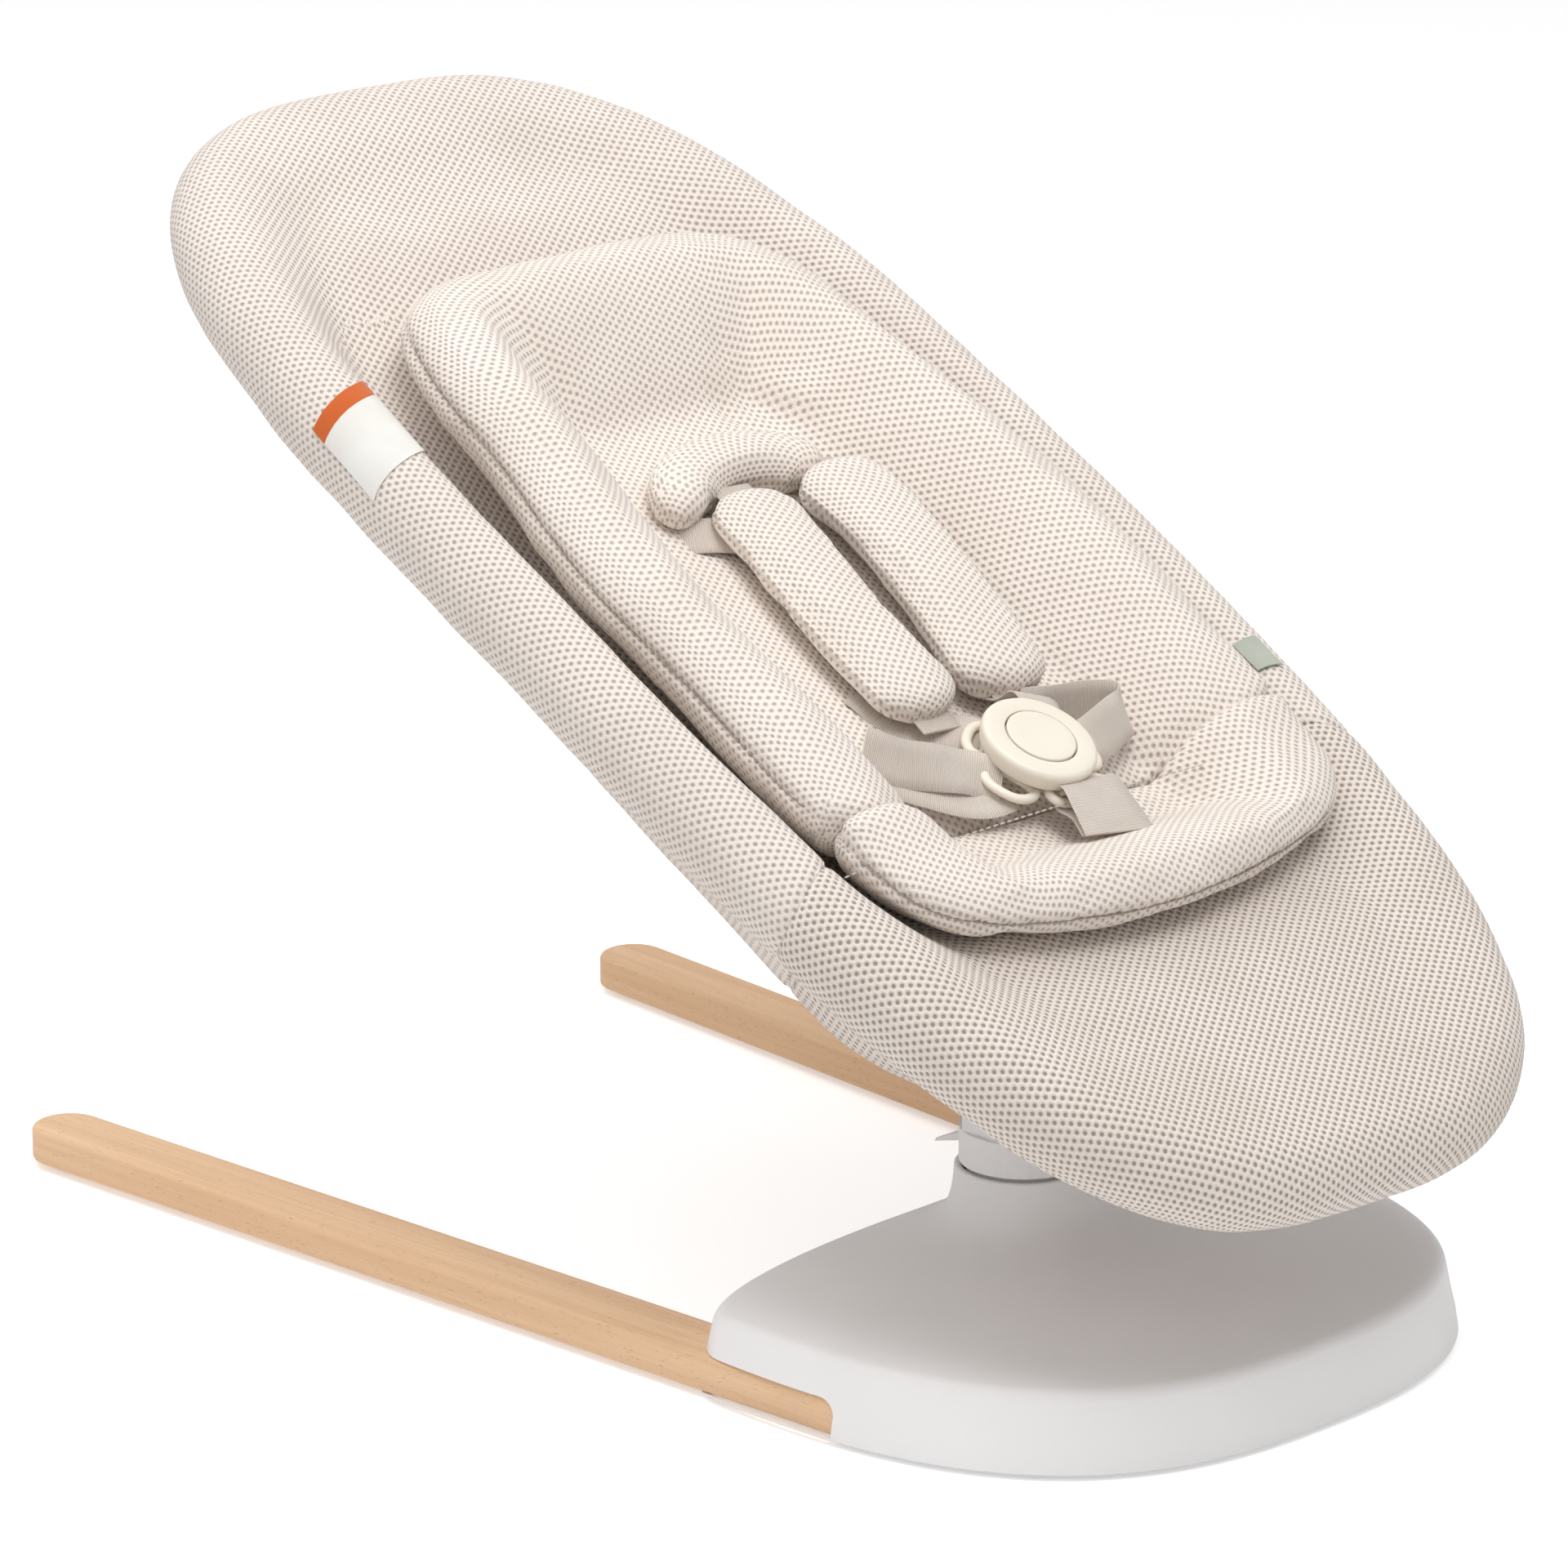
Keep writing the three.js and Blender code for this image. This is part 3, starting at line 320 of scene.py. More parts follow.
class Nodes:
    """A short way to write a material's nodes."""

    def __init__(self, name):
        self.material = bpy.data.materials.new(name)
        self.material.use_nodes = True
        self.tree = self.material.node_tree
        self.shader = self.tree.nodes["Principled BSDF"]

    def add(self, kind, **settings):
        node = self.tree.nodes.new(kind)
        for key, value in settings.items():
            setattr(node, key, value)
        return node

    def link(self, source, target):
        self.tree.links.new(source, target)

    def put(self, socket, value):
        if isinstance(value, bpy.types.NodeSocket):
            self.link(value, socket)
        else:
            socket.default_value = value

    def math(self, operation, *values):
        node = self.add("ShaderNodeMath", operation=operation)
        for i, value in enumerate(values):
            self.put(node.inputs[i], value)
        return node.outputs[0]

    def vector(self, operation, *values):
        node = self.add("ShaderNodeVectorMath", operation=operation)
        for i, value in enumerate(values):
            self.put(node.inputs[i], value)
        return node.outputs["Value" if operation == "LENGTH" else "Vector"]

    def ramp(self, value, low, high, out_low=0.0, out_high=1.0):
        node = self.add("ShaderNodeMapRange", interpolation_type="SMOOTHSTEP")
        self.put(node.inputs["Value"], value)
        node.inputs["From Min"].default_value = low
        node.inputs["From Max"].default_value = high
        node.inputs["To Min"].default_value = out_low
        node.inputs["To Max"].default_value = out_high
        return node.outputs["Result"]

    def mix(self, factor, first, second):
        node = self.add("ShaderNodeMix", data_type="RGBA")
        self.put(node.inputs[0], factor)
        self.put(node.inputs[6], first)
        self.put(node.inputs[7], second)
        return node.outputs[2]

    def noise(self, vector, scale, detail=2.0, roughness=0.5):
        node = self.add("ShaderNodeTexNoise")
        self.put(node.inputs["Vector"], vector)
        node.inputs["Scale"].default_value = scale
        node.inputs["Detail"].default_value = detail
        node.inputs["Roughness"].default_value = roughness
        return node.outputs["Fac"]

    def bump(self, height, distance, strength):
        node = self.add("ShaderNodeBump")
        self.put(node.inputs["Height"], height)
        node.inputs["Distance"].default_value = distance
        node.inputs["Strength"].default_value = strength
        return node.outputs["Normal"]

    def object_vector(self):
        return self.add("ShaderNodeTexCoord").outputs["Object"]

    def map_vector(self):
        return self.add("ShaderNodeUVMap", uv_map="weave").outputs["UV"]

    def colours(self, factor, first, second):
        """Mixes two colours given as hex."""
        return self.mix(factor, linear(first), linear(second))

    def set(self, **values):
        names = {"colour": "Base Color", "roughness": "Roughness", "metallic": "Metallic",
                 "normal": "Normal", "sheen": "Sheen Weight", "sheen_roughness": "Sheen Roughness",
                 "specular": "Specular IOR Level", "coat": "Coat Weight",
                 "coat_roughness": "Coat Roughness"}
        for key, value in values.items():
            self.put(self.shader.inputs[names[key]], value)
        return self.material


HOLE_PITCH = 4.8                     # air mesh: hole spacing along the seat
COLUMN_PITCH = 3.3                   # and between columns, each one shifted by half a pitch


def air_mesh(name, thread, hole, strength, hole_along=0.95, hole_across=0.85):
    """Knitted spacer mesh: staggered small holes between soft ribs."""
    n = Nodes(name)
    place = n.map_vector()
    distances = []
    for shift in (0.0, 0.5):
        cell = n.vector("MULTIPLY", place, (0.5 / COLUMN_PITCH, 1 / HOLE_PITCH, 0))
        cell = n.vector("FRACTION", n.vector("ADD", cell, (shift, shift, 0)))
        cell = n.vector("SUBTRACT", cell, (0.5, 0.5, 0))
        cell = n.vector("MULTIPLY", cell, (2 * COLUMN_PITCH / hole_across, HOLE_PITCH / hole_along, 0))
        distances.append(n.vector("LENGTH", cell))
    nearest = n.math("MINIMUM", *distances)
    opening = n.ramp(nearest, 0.65, 1.25, 1.0, 0.0)
    rim = n.ramp(nearest, 1.0, 2.1, 0.0, 1.0)
    spot = n.object_vector()
    patchy = n.noise(spot, 14.0, 3.0)
    fibre = n.noise(n.vector("MULTIPLY", place, (2.2, 0.9, 1.0)), 1.0, 3.0, 0.7)
    light = n.colours(n.ramp(patchy, 0.35, 0.65), thread[0], thread[1])
    light = n.mix(n.math("MULTIPLY", n.ramp(fibre, 0.45, 0.8), 0.22), light, linear(hole))
    colour = n.mix(n.math("MULTIPLY", opening, strength), light, linear(hole))
    height = n.math("ADD", n.math("MULTIPLY", rim, 0.8), n.math("MULTIPLY", fibre, 0.3))
    height = n.math("SUBTRACT", height, opening)
    return n.set(colour=colour, roughness=0.92, sheen=0.25, sheen_roughness=0.5, specular=0.2,
                 normal=n.bump(height, 0.0007, 0.8))


MATERIAL = {}
MATERIAL["cover"] = air_mesh("cream_air_mesh", ("#eee4db", "#e9ded5"), "#a2948a", 0.8)
MATERIAL["cover_foot"] = air_mesh("cream_air_mesh_foot", ("#ece2d9", "#e7dcd2"), "#96877b", 0.92,
                                  1.1, 1.0)
MATERIAL["insert"] = air_mesh("cream_insert_mesh", ("#f3e9e0", "#efe4da"), "#a3958a", 0.68, 0.9, 0.8)


def plain_cloth(name, colours, thread):
    """A close plain weave, such as tape, stitching or label cloth. thread is in threads per metre."""
    n = Nodes(name)
    place = n.object_vector()
    cloud = n.ramp(n.noise(place, 30.0, 3.0), 0.3, 0.7)
    fine = n.noise(place, thread, 2.0, 0.8)
    colour = n.colours(cloud, *colours[:2])
    colour = n.mix(n.math("MULTIPLY", n.ramp(fine, 0.5, 0.8), 0.25), colour, linear(colours[2]))
    return n.set(colour=colour, roughness=0.85, sheen=0.2, sheen_roughness=0.5, specular=0.2,
                 normal=n.bump(fine, 0.0003, 0.6))


def ribbed_webbing(name, colours):
    """Grosgrain webbing: cross ribs along the strap, and fine warp lines the other way."""
    n = Nodes(name)
    split = n.add("ShaderNodeSeparateXYZ")
    n.link(n.map_vector(), split.inputs[0])
    across, along = split.outputs[0], split.outputs[1]
    rib = n.math("SINE", n.math("MULTIPLY", along, 2 * math.pi / 1.1))
    warp = n.math("SINE", n.math("MULTIPLY", across, 2 * math.pi / 0.9))
    height = n.math("ADD", rib, n.math("MULTIPLY", n.math("MULTIPLY", warp, rib), 0.5))
    cloud = n.ramp(n.noise(n.object_vector(), 60.0, 3.0), 0.3, 0.7)
    colour = n.colours(cloud, *colours[:2])
    colour = n.mix(n.ramp(height, -1.4, 0.6, 0.45, 0.0), colour, linear(colours[2]))
    return n.set(colour=colour, roughness=0.75, sheen=0.3, sheen_roughness=0.4, specular=0.3,
                 normal=n.bump(height, 0.00022, 0.8))


def moulded_plastic(name, colours, roughness, grain=2600.0, depth=0.00006):
    """Matte moulded plastic with a fine spark-eroded texture and a slight colour drift."""
    n = Nodes(name)
    place = n.object_vector()
    cloud = n.ramp(n.noise(place, 9.0, 2.0), 0.3, 0.7)
    texture = n.noise(place, grain, 1.0, 0.6)
    colour = n.colours(cloud, *colours[:2])
    rough = n.ramp(texture, 0.3, 0.7, roughness - 0.06, roughness + 0.06)
    return n.set(colour=colour, roughness=rough, specular=0.4, normal=n.bump(texture, depth, 0.5))


def metal(name, colours, roughness, brushed=(30.0, 900.0, 900.0)):
    n = Nodes(name)
    place = n.object_vector()
    streak = n.noise(n.vector("MULTIPLY", place, brushed), 1.0, 2.0, 0.7)
    colour = n.colours(n.ramp(streak, 0.3, 0.7), colours[0], colours[1])
    rough = n.ramp(streak, 0.3, 0.7, roughness - 0.06, roughness + 0.08)
    return n.set(colour=colour, roughness=rough, metallic=1.0, normal=n.bump(streak, 0.00004, 0.4))


def foam(name, colours):
    n = Nodes(name)
    place = n.object_vector()
    cell = n.add("ShaderNodeTexVoronoi")
    n.link(place, cell.inputs["Vector"])
    cell.inputs["Scale"].default_value = 500.0
    pore = cell.outputs["Distance"]
    colour = n.colours(n.ramp(pore, 0.1, 0.7), colours[0], colours[1])
    return n.set(colour=colour, roughness=0.95, specular=0.2, normal=n.bump(pore, 0.0008, 0.8))


def rubber(name, colours):
    n = Nodes(name)
    place = n.object_vector()
    speck = n.noise(place, 900.0, 2.0, 0.7)
    colour = n.colours(n.ramp(speck, 0.4, 0.7), colours[0], colours[1])
    return n.set(colour=colour, roughness=0.8, specular=0.3, normal=n.bump(speck, 0.0002, 0.5))


def beech(name, turn):
    """Oiled beech: pale brown, faint long grain and the short darker flecks of the wood's rays."""
    n = Nodes(name)
    turned = n.add("ShaderNodeVectorRotate", rotation_type="Z_AXIS")
    n.link(n.object_vector(), turned.inputs["Vector"])
    turned.inputs["Angle"].default_value = turn
    place = turned.outputs[0]
    band = n.noise(n.vector("MULTIPLY", place, (70.0, 2.5, 70.0)), 1.0, 3.0, 0.55)
    streak = n.noise(n.vector("MULTIPLY", place, (420.0, 9.0, 420.0)), 1.0, 3.0, 0.6)
    fleck = n.noise(n.vector("MULTIPLY", place, (1500.0, 190.0, 1500.0)), 1.0, 1.0, 0.5)
    flecks = n.ramp(fleck, 0.66, 0.74)
    colour = n.mix(n.ramp(band, 0.3, 0.7), linear("#f6d1ab"), linear("#ebc39b"))
    colour = n.mix(n.math("MULTIPLY", n.ramp(streak, 0.35, 0.75), 0.35), colour, linear("#dcb187"))
    colour = n.mix(n.math("MULTIPLY", flecks, 0.45), colour, linear("#a9764a"))
    rough = n.ramp(streak, 0.3, 0.7, 0.48, 0.6)
    return n.set(colour=colour, roughness=rough, specular=0.35,
                 normal=n.bump(n.math("SUBTRACT", streak, flecks), 0.00008, 0.5))


MATERIAL["webbing"] = ribbed_webbing("beige_webbing", ("#e6dbd1", "#dfd3c8", "#ad9f93"))
MATERIAL["housing"] = moulded_plastic("white_housing", ("#f7f5f5", "#f3f1f1"), 0.5)
MATERIAL["hub"] = moulded_plastic("hub_grey", ("#d9d8da", "#d0cfd2"), 0.5)
MATERIAL["pan"] = moulded_plastic("pan_grey", ("#cfced1", "#c6c5c9"), 0.6)
MATERIAL["buckle"] = moulded_plastic("buckle_cream", ("#eee6d8", "#e9e0d0"), 0.36, 1800.0, 0.00003)
MATERIAL["steel"] = metal("pressed_steel", ("#9c9ea1", "#b3b5b8"), 0.38)
MATERIAL["zinc"] = metal("zinc_plate", ("#b4b6b9", "#cbcdd0"), 0.3)
MATERIAL["aluminium"] = metal("aluminium_tube", ("#b9bbbe", "#cfd1d3"), 0.32)
MATERIAL["foam"] = foam("grey_foam", ("#6e7073", "#94969a"))
MATERIAL["rubber"] = rubber("black_rubber", ("#29292b", "#3c3c3f"))
MATERIAL["thread"] = plain_cloth("cream_thread", ("#d8cbbd", "#cdbfb0", "#a4968a"), 4000.0)
# The insert's seam stitches are darker than the cream thread, so they also paint the shade of the
# sewn-down channel as a dark line.
MATERIAL["stitch_painted_shade"] = plain_cloth("seam_stitches_painted_shade", ("#b3a497", "#a6978a", "#84766a"), 2500.0)
MATERIAL["label"] = plain_cloth("label_cloth", ("#e9e7e2", "#e3e0da", "#cbc8c2"), 1800.0)
MATERIAL["label_band"] = plain_cloth("label_band", ("#d3692f", "#c96028", "#a34c1f"), 1800.0)
MATERIAL["tag"] = plain_cloth("tag_cloth", ("#b7bcb0", "#aab0a5", "#8f958b"), 2200.0)


def dress(obj, material):
    obj.data.materials.clear()
    obj.data.materials.append(MATERIAL[material])


def enter(obj, material, node=None, body="seat"):
    """Gives a finished piece its material and the body it rides on, and hides the CAD node it stands
    for.
    """
    dress(obj, material)
    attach(obj, body)
    if node:
        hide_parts(node)


# ---------- cloth map of the covers ----------
UNDER_TURN = math.radians(128)       # how far round the rim the upper side's cloth reaches


def extra_length(distance, depth):
    """How much longer the way down the bowl's slope is than its plan, up to a distance in."""
    steps = 24
    total = np.zeros_like(distance)
    part = np.clip(distance / BOWL_SLOPE, 0, 1) / steps
    for k in range(steps):
        t = part * (k + 0.5)
        slope = depth * 6 * t * (1 - t) / BOWL_SLOPE
        total += (np.hypot(1, slope) - 1) * part * BOWL_SLOPE
    return total


def turn_round_rim(points):
    """Angle round the rim's section, 0 on top and pi underneath, and the distance from the line."""
    x, y, z = points[:, 0], points[:, 1], points[:, 2]
    distance = rim_distance(x, y)
    return np.arctan2(-distance, z - BOW * y * y), distance


def cover_map(points):
    """Flat map of the upper side: the cloth unrolled outward from the rim's line."""
    x, y = points[:, 0], points[:, 1]
    turn, distance = turn_round_rim(points)
    nx, ny = SEAT_OVAL.normal(x, y)
    outside = distance < 0
    depth = blend_through(BOWL_DEPTH, y)
    fade = 1 - smoothstep(distance, BOWL_SLOPE, 3 * BOWL_SLOPE)
    shift = np.where(outside, distance + RIM * turn, -extra_length(distance, depth) * fade)
    return np.stack([x + nx * shift, y + ny * shift], axis=1)


def map_cover(obj):
    """Writes the cloth map: unrolled on the upper side, and flat underneath."""
    mesh = obj.data
    points = to_seat(coordinates(obj))
    upper = cover_map(points)
    lower = points[:, :2]
    turn, distance = turn_round_rim(points)
    under = ((distance >= 0) & (points[:, 2] < BOW * points[:, 1] ** 2)) | (turn > UNDER_TURN + 0.01)
    corner = corner_points(mesh)
    starts = np.empty(len(mesh.polygons), np.int32)
    sizes = np.empty(len(mesh.polygons), np.int32)
    mesh.polygons.foreach_get("loop_start", starts)
    mesh.polygons.foreach_get("loop_total", sizes)
    share_under = np.add.reduceat(under[corner].astype(float), starts) / sizes
    flat = np.repeat(share_under > 0.5, sizes)
    write_corners(obj, np.where(flat[:, None], lower[corner], upper[corner]))


# ---------- covers ----------
SEAM_AT = -202.0                     # where the two covers meet, on the rim's crest
SEAM_CREST = 162.0
SEAM_SLANT = 0.5                     # it runs back toward the foot down each side
SEAM_FLAT = 120.0                    # half the width that it crosses straight
SEAM_DIP = (1.6, 2.6)                # how deep its edges turn in, and over what width
COVER_WALL = 3.0


def seam_level(x, y):
    """Above 0 on the upper cover's side of the seam."""
    over = np.maximum(np.abs(x) - SEAM_FLAT, 0.0)
    return y - (SEAM_AT + SEAM_SLANT * (SEAM_CREST - SEAM_FLAT) - SEAM_SLANT * over)


def cover_grid():
    """Rings of seat-frame points: out over the bowl, round the rim and in under the belly."""
    def spacing(x, y):
        """Wide steps, and short ones near the seam."""
        return 5.5 - 4.2 * np.exp(-((y + 215.0) / 30.0) ** 2)

    x, y = rim_line(spacing)
    nx, ny = SEAT_OVAL.normal(x, y)
    rings = []
    shares = [0.12, 0.3, 0.45] + list(np.linspace(0.55, 1.0, 26)[:-1])
    for share in shares:
        px, py = share * x, share * y
        rings.append(np.stack([px, py, cover_top(px, py)], axis=1))
    for turn in np.linspace(0, math.pi, 27):
        out = RIM * math.sin(turn)
        rings.append(np.stack([x + nx * out, y + ny * out,
                               RIM * math.cos(turn) + BOW * y * y], axis=1))
    for share in reversed(shares):
        px, py = share * x, share * y
        rings.append(np.stack([px, py, cover_bottom(px, py)], axis=1))
    return rings


def close_mesh(rings):
    """Points and faces of closed rings, with a fan on each end."""
    count = len(rings[0])
    points = np.concatenate(list(rings) + [rings[0].mean(0)[None], rings[-1].mean(0)[None]])
    faces = band_faces(len(rings), count)
    first, last = len(points) - 2, len(points) - 1
    end = (len(rings) - 1) * count
    for i in range(count):
        k = (i + 1) % count
        faces.append((first, k, i))
        faces.append((last, end + i, end + k))
    return points, faces


def closed_skin(name, rings):
    """A closed object through rings of seat-frame points."""
    points, faces = close_mesh(rings)
    obj = mesh_object(name, to_world(points), faces)
    face_outward(obj)
    return obj


def cut_along(bm, level):
    """Splits every face that the zero line of level(seat points) crosses."""
    bm.verts.ensure_lookup_table()
    bm.verts.index_update()
    values = level(to_seat(np.array([v.co for v in bm.verts])))
    made = []
    for edge in list(bm.edges):
        a, b = edge.verts
        la, lb = values[a.index], values[b.index]
        if la * lb < 0:
            made.append(bmesh.utils.edge_split(edge, a, la / (la - lb))[1])
    bmesh.ops.connect_verts(bm, verts=made)
    bm.verts.index_update()


def make_covers():
    whole = closed_skin("cover_blank", cover_grid())
    # soft, slightly uneven padding
    places = to_seat(coordinates(whole))
    swell(whole, soft_noise(places, 70.0, 3) * 1.1 + soft_noise(places, 26.0, 5) * 0.5)

    made = []
    for name, node, keep, material in (
            ("cover_upper", "seat_cover_upper", 1, "cover"),
            ("cover_lower", "seat_cover_lower", -1, "cover_foot")):
        bm = bmesh.new()
        bm.from_mesh(whole.data)
        cut_along(bm, lambda p: seam_level(p[:, 0], p[:, 1]))
        for side in (-1, 1):
            cut_along(bm, lambda p, side=side: p[:, 0] - side * SLOT_HALF_WIDTH)
        for line in (SLOT_HEAD, SLOT_FOOT):
            cut_along(bm, lambda p, line=line: p[:, 1] - line)
        middles = to_seat(np.array([f.calc_center_median() for f in bm.faces]))
        x, y, z = middles[:, 0], middles[:, 1], middles[:, 2]
        slot = (np.abs(x) < SLOT_HALF_WIDTH) & (y > SLOT_FOOT) & (y < SLOT_HEAD) & (z < SLOT_TOP)
        drop = slot | (keep * seam_level(x, y) < 0)
        gone = [face for face, out in zip(list(bm.faces), drop) if out]
        bmesh.ops.delete(bm, geom=gone, context="FACES")
        # the seam's edges turn in
        places = to_seat(np.array([v.co for v in bm.verts]))
        depth, width = SEAM_DIP
        dips = depth * np.exp(-(seam_level(places[:, 0], places[:, 1]) / width) ** 2)
        for vert, dip in zip(bm.verts, dips):
            vert.co -= vert.normal * (dip * MM)
        mesh = bpy.data.meshes.new(name)
        bm.to_mesh(mesh)
        bm.free()
        obj = add_object(name, mesh)
        mesh.shade_smooth()
        map_cover(obj)
        thicken(obj, COVER_WALL, -1.0)
        enter(obj, material, node)
        made.append(obj)
    bpy.data.objects.remove(whole)
    return made


cover_upper, cover_lower = make_covers()

# ---------- stuffed pads ----------
CLOTH = {"quality": 4, "mass": 0.3, "tension_stiffness": 20, "compression_stiffness": 20,
         "shear_stiffness": 8, "bending_stiffness": 0.3, "use_pressure": True,
         "uniform_pressure_force": 4.0}
CLOTH_FRAMES = 20


def puff(obj, voxel, cap):
    """Blows a pad up a little as cloth. No point moves further than cap millimetres."""
    remesh = obj.modifiers.new("remesh", "REMESH")
    remesh.mode = "VOXEL"
    remesh.voxel_size = voxel * MM
    remesh.use_smooth_shade = True
    apply_modifiers(obj)
    start = coordinates(obj)
    cloth = obj.modifiers.new("cloth", "CLOTH")
    for key, value in CLOTH.items():
        setattr(cloth.settings, key, value)
    cloth.settings.effector_weights.gravity = 0
    cloth.collision_settings.use_collision = False
    cloth.point_cache.frame_start = 1
    cloth.point_cache.frame_end = CLOTH_FRAMES
    scene = bpy.context.scene
    for step in range(1, CLOTH_FRAMES + 1):
        scene.frame_set(step)
    moved = coordinates(obj.evaluated_get(bpy.context.evaluated_depsgraph_get()))
    obj.modifiers.clear()
    scene.frame_set(1)
    shift = moved - start
    size = np.linalg.norm(shift, axis=1, keepdims=True)
    limit = cap * MM
    shift *= limit * np.tanh(size / limit) / np.maximum(size, 1e-9)
    set_coordinates(obj, start + shift)
    finer = obj.modifiers.new("finer", "SUBSURF")
    finer.levels = 1
    finer.render_levels = 1
    apply_modifiers(obj)
    obj.data.shade_smooth()


def catmull_rom(points, count, closed=False):
    """Evenly spaced points on a smooth curve through the given ones."""
    p = np.asarray(points, float)
    if closed:
        p = np.concatenate([p[-1:], p, p[:2]])
    else:
        p = np.concatenate([2 * p[:1] - p[1:2], p, 2 * p[-1:] - p[-2:-1]])
    fine = []
    for a, b, c, d in zip(p, p[1:], p[2:], p[3:]):
        k0 = 0.0
        k1 = k0 + max(np.linalg.norm(b - a), 1e-6) ** 0.5
        k2 = k1 + max(np.linalg.norm(c - b), 1e-6) ** 0.5
        k3 = k2 + max(np.linalg.norm(d - c), 1e-6) ** 0.5
        for t in np.linspace(k1, k2, 24, endpoint=False):
            q1 = (k1 - t) / (k1 - k0) * a + (t - k0) / (k1 - k0) * b
            q2 = (k2 - t) / (k2 - k1) * b + (t - k1) / (k2 - k1) * c
            q3 = (k3 - t) / (k3 - k2) * c + (t - k2) / (k3 - k2) * d
            r1 = (k2 - t) / (k2 - k0) * q1 + (t - k0) / (k2 - k0) * q2
            r2 = (k3 - t) / (k3 - k1) * q2 + (t - k1) / (k3 - k1) * q3
            fine.append((k2 - t) / (k2 - k1) * r1 + (t - k1) / (k2 - k1) * r2)
    fine.append(p[-2])
    fine = np.array(fine)
    length = travelled(fine)
    at = np.linspace(0, length[-1], count + 1)[:-1] if closed else np.linspace(0, length[-1], count)
    return np.stack([np.interp(at, length, fine[:, i]) for i in range(fine.shape[1])], axis=1)


def outline_distance(points, outline):
    """Distance of each plan point to a closed outline, the nearest point and the way out there."""
    run = np.roll(outline, -1, axis=0) - outline
    size = np.maximum((run ** 2).sum(1), 1e-9)
    edge_out = np.stack([run[:, 1], -run[:, 0]], axis=1)
    edge_out /= np.sqrt(size)[:, None]
    if ((outline - outline.mean(0)) * edge_out).sum() < 0:
        edge_out = -edge_out
    corner_out = edge_out + np.roll(edge_out, 1, axis=0)
    best = np.full(len(points), 1e9)
    nearest = np.zeros((len(points), 2))
    out = np.zeros((len(points), 2))
    for k in range(len(outline)):
        part = np.clip(((points - outline[k]) @ run[k]) / size[k], 0, 1)[:, None]
        foot = outline[k] + part * run[k]
        far = np.hypot(*(points - foot).T)
        closer = far < best
        best = np.where(closer, far, best)
        nearest = np.where(closer[:, None], foot, nearest)
        direction = corner_out[k] * (1 - part) + corner_out[(k + 1) % len(outline)] * part
        out = np.where(closer[:, None], direction, out)
    out /= np.maximum(np.linalg.norm(out, axis=1, keepdims=True), 1e-9)
    return best, nearest, out


# half outlines in plan, from the middle of one end to the middle of the other
INSERT_BACK = [(0, 231), (50, 230), (92, 225), (119, 208), (132, 184), (142, 150), (150, 95),
               (160, 40), (166, -10), (166, -80), (165, -140), (159, -190), (120, -202), (60, -203),
               (0, -203)]
INSERT_SEAT = [(0, -192), (60, -192), (120, -192), (157, -195), (159, -226), (150, -254),
               (128, -273), (97, -284), (60, -292), (0, -297)]
INSERT_JOINT = -194.5                # where the two pads meet
INSERT_SEAM = [(-300, 24), (-200, 27), (100, 27), (200, 23), (235, 17)]
BOLSTER_TOP = [(-302, 36), (-240, 39), (-194, 43), (-60, 46), (150, 46), (235, 40)]
HOLLOW_TOP = [(-250, 4), (-190, -3), (-60, -2), (60, -2), (120, -4)]
INSERT_CLEARANCE = 8.0               # kept free over the cover
INSERT_DEPTH = 40.0
EDGE_CORNER = 18.0                   # rounding at the outer edge, and at the joint
JOINT_CORNER = 8.0
JOINT_ZONE = 9.0
SIDE_BOLSTER = (30, 84)              # full height up to the first distance, gone at the second
HEAD_BOLSTER = (30, 112)
FOOT_BOLSTER = (18, 70)
STITCH_FREE = 14                     # no stitches this near the joint
SEAM_CHANNEL = (2.8, 2.8)            # depth and width


def whole_outline(half, count):
    mirrored = [(-x, y) for x, y in reversed(half[1:-1])]
    return catmull_rom(list(half) + mirrored, count, closed=True)


def bolster_share(distance, ends):
    return 1 - np.clip((distance - ends[0]) / (ends[1] - ends[0]), 0, 1) ** 1.4


def insert_top(half, x, y):
    """Height of a pad's upper side away from its rounded edge."""
    back = half is INSERT_BACK
    table = np.array([p for p in half[1:-1] if abs(p[1] - INSERT_JOINT) > JOINT_ZONE], float)
    order = np.argsort(table[:, 1])
    edge = np.interp(y, table[order, 1], table[order, 0])
    end = half[0][1] - y if back else y - half[-1][1]
    share = np.maximum(bolster_share(edge - np.abs(x), SIDE_BOLSTER),
                       bolster_share(end, HEAD_BOLSTER if back else FOOT_BOLSTER))
    hollow = blend_through(HOLLOW_TOP, y)
    return hollow + (blend_through(BOLSTER_TOP, y) - hollow) * share


def pad_surface(half, flat, outline, over):
    """Height of a pad's upper or lower side. Both meet in the seam at its outline."""
    x, y = flat[:, 0], flat[:, 1]
    distance, nearest, _ = outline_distance(flat, outline)
    at_joint = np.abs(nearest[:, 1] - INSERT_JOINT) < JOINT_ZONE
    top = insert_top(half, x, y)
    seam = np.minimum(blend_through(INSERT_SEAM, y), top - 6)
    under = np.maximum(cover_top(x, y) + INSERT_CLEARANCE, top - INSERT_DEPTH)
    under = np.minimum(under, seam - 4)
    reach = np.where(at_joint, JOINT_CORNER, EDGE_CORNER)
    part = np.clip(distance / reach, 0, 1)
    roundness = np.sqrt(np.clip(1 - (1 - part) ** 2, 0, 1))
    return seam + ((top if over else under) - seam) * roundness


def snapped(obj, line):
    """Seat-frame points moved to the nearest place on an object, and the way out there."""
    places, ways = [], []
    for point in to_world(line):
        _, place, way, _ = obj.closest_point_on_mesh(Vector(point))
        places.append(place)
        ways.append(way)
    places, ways = to_seat(np.array(places)), np.array(ways)
    ways = np.stack([ways[:, 0], ways[:, 1] * COS + ways[:, 2] * SIN,
                     -ways[:, 1] * SIN + ways[:, 2] * COS], axis=1)
    return places, ways


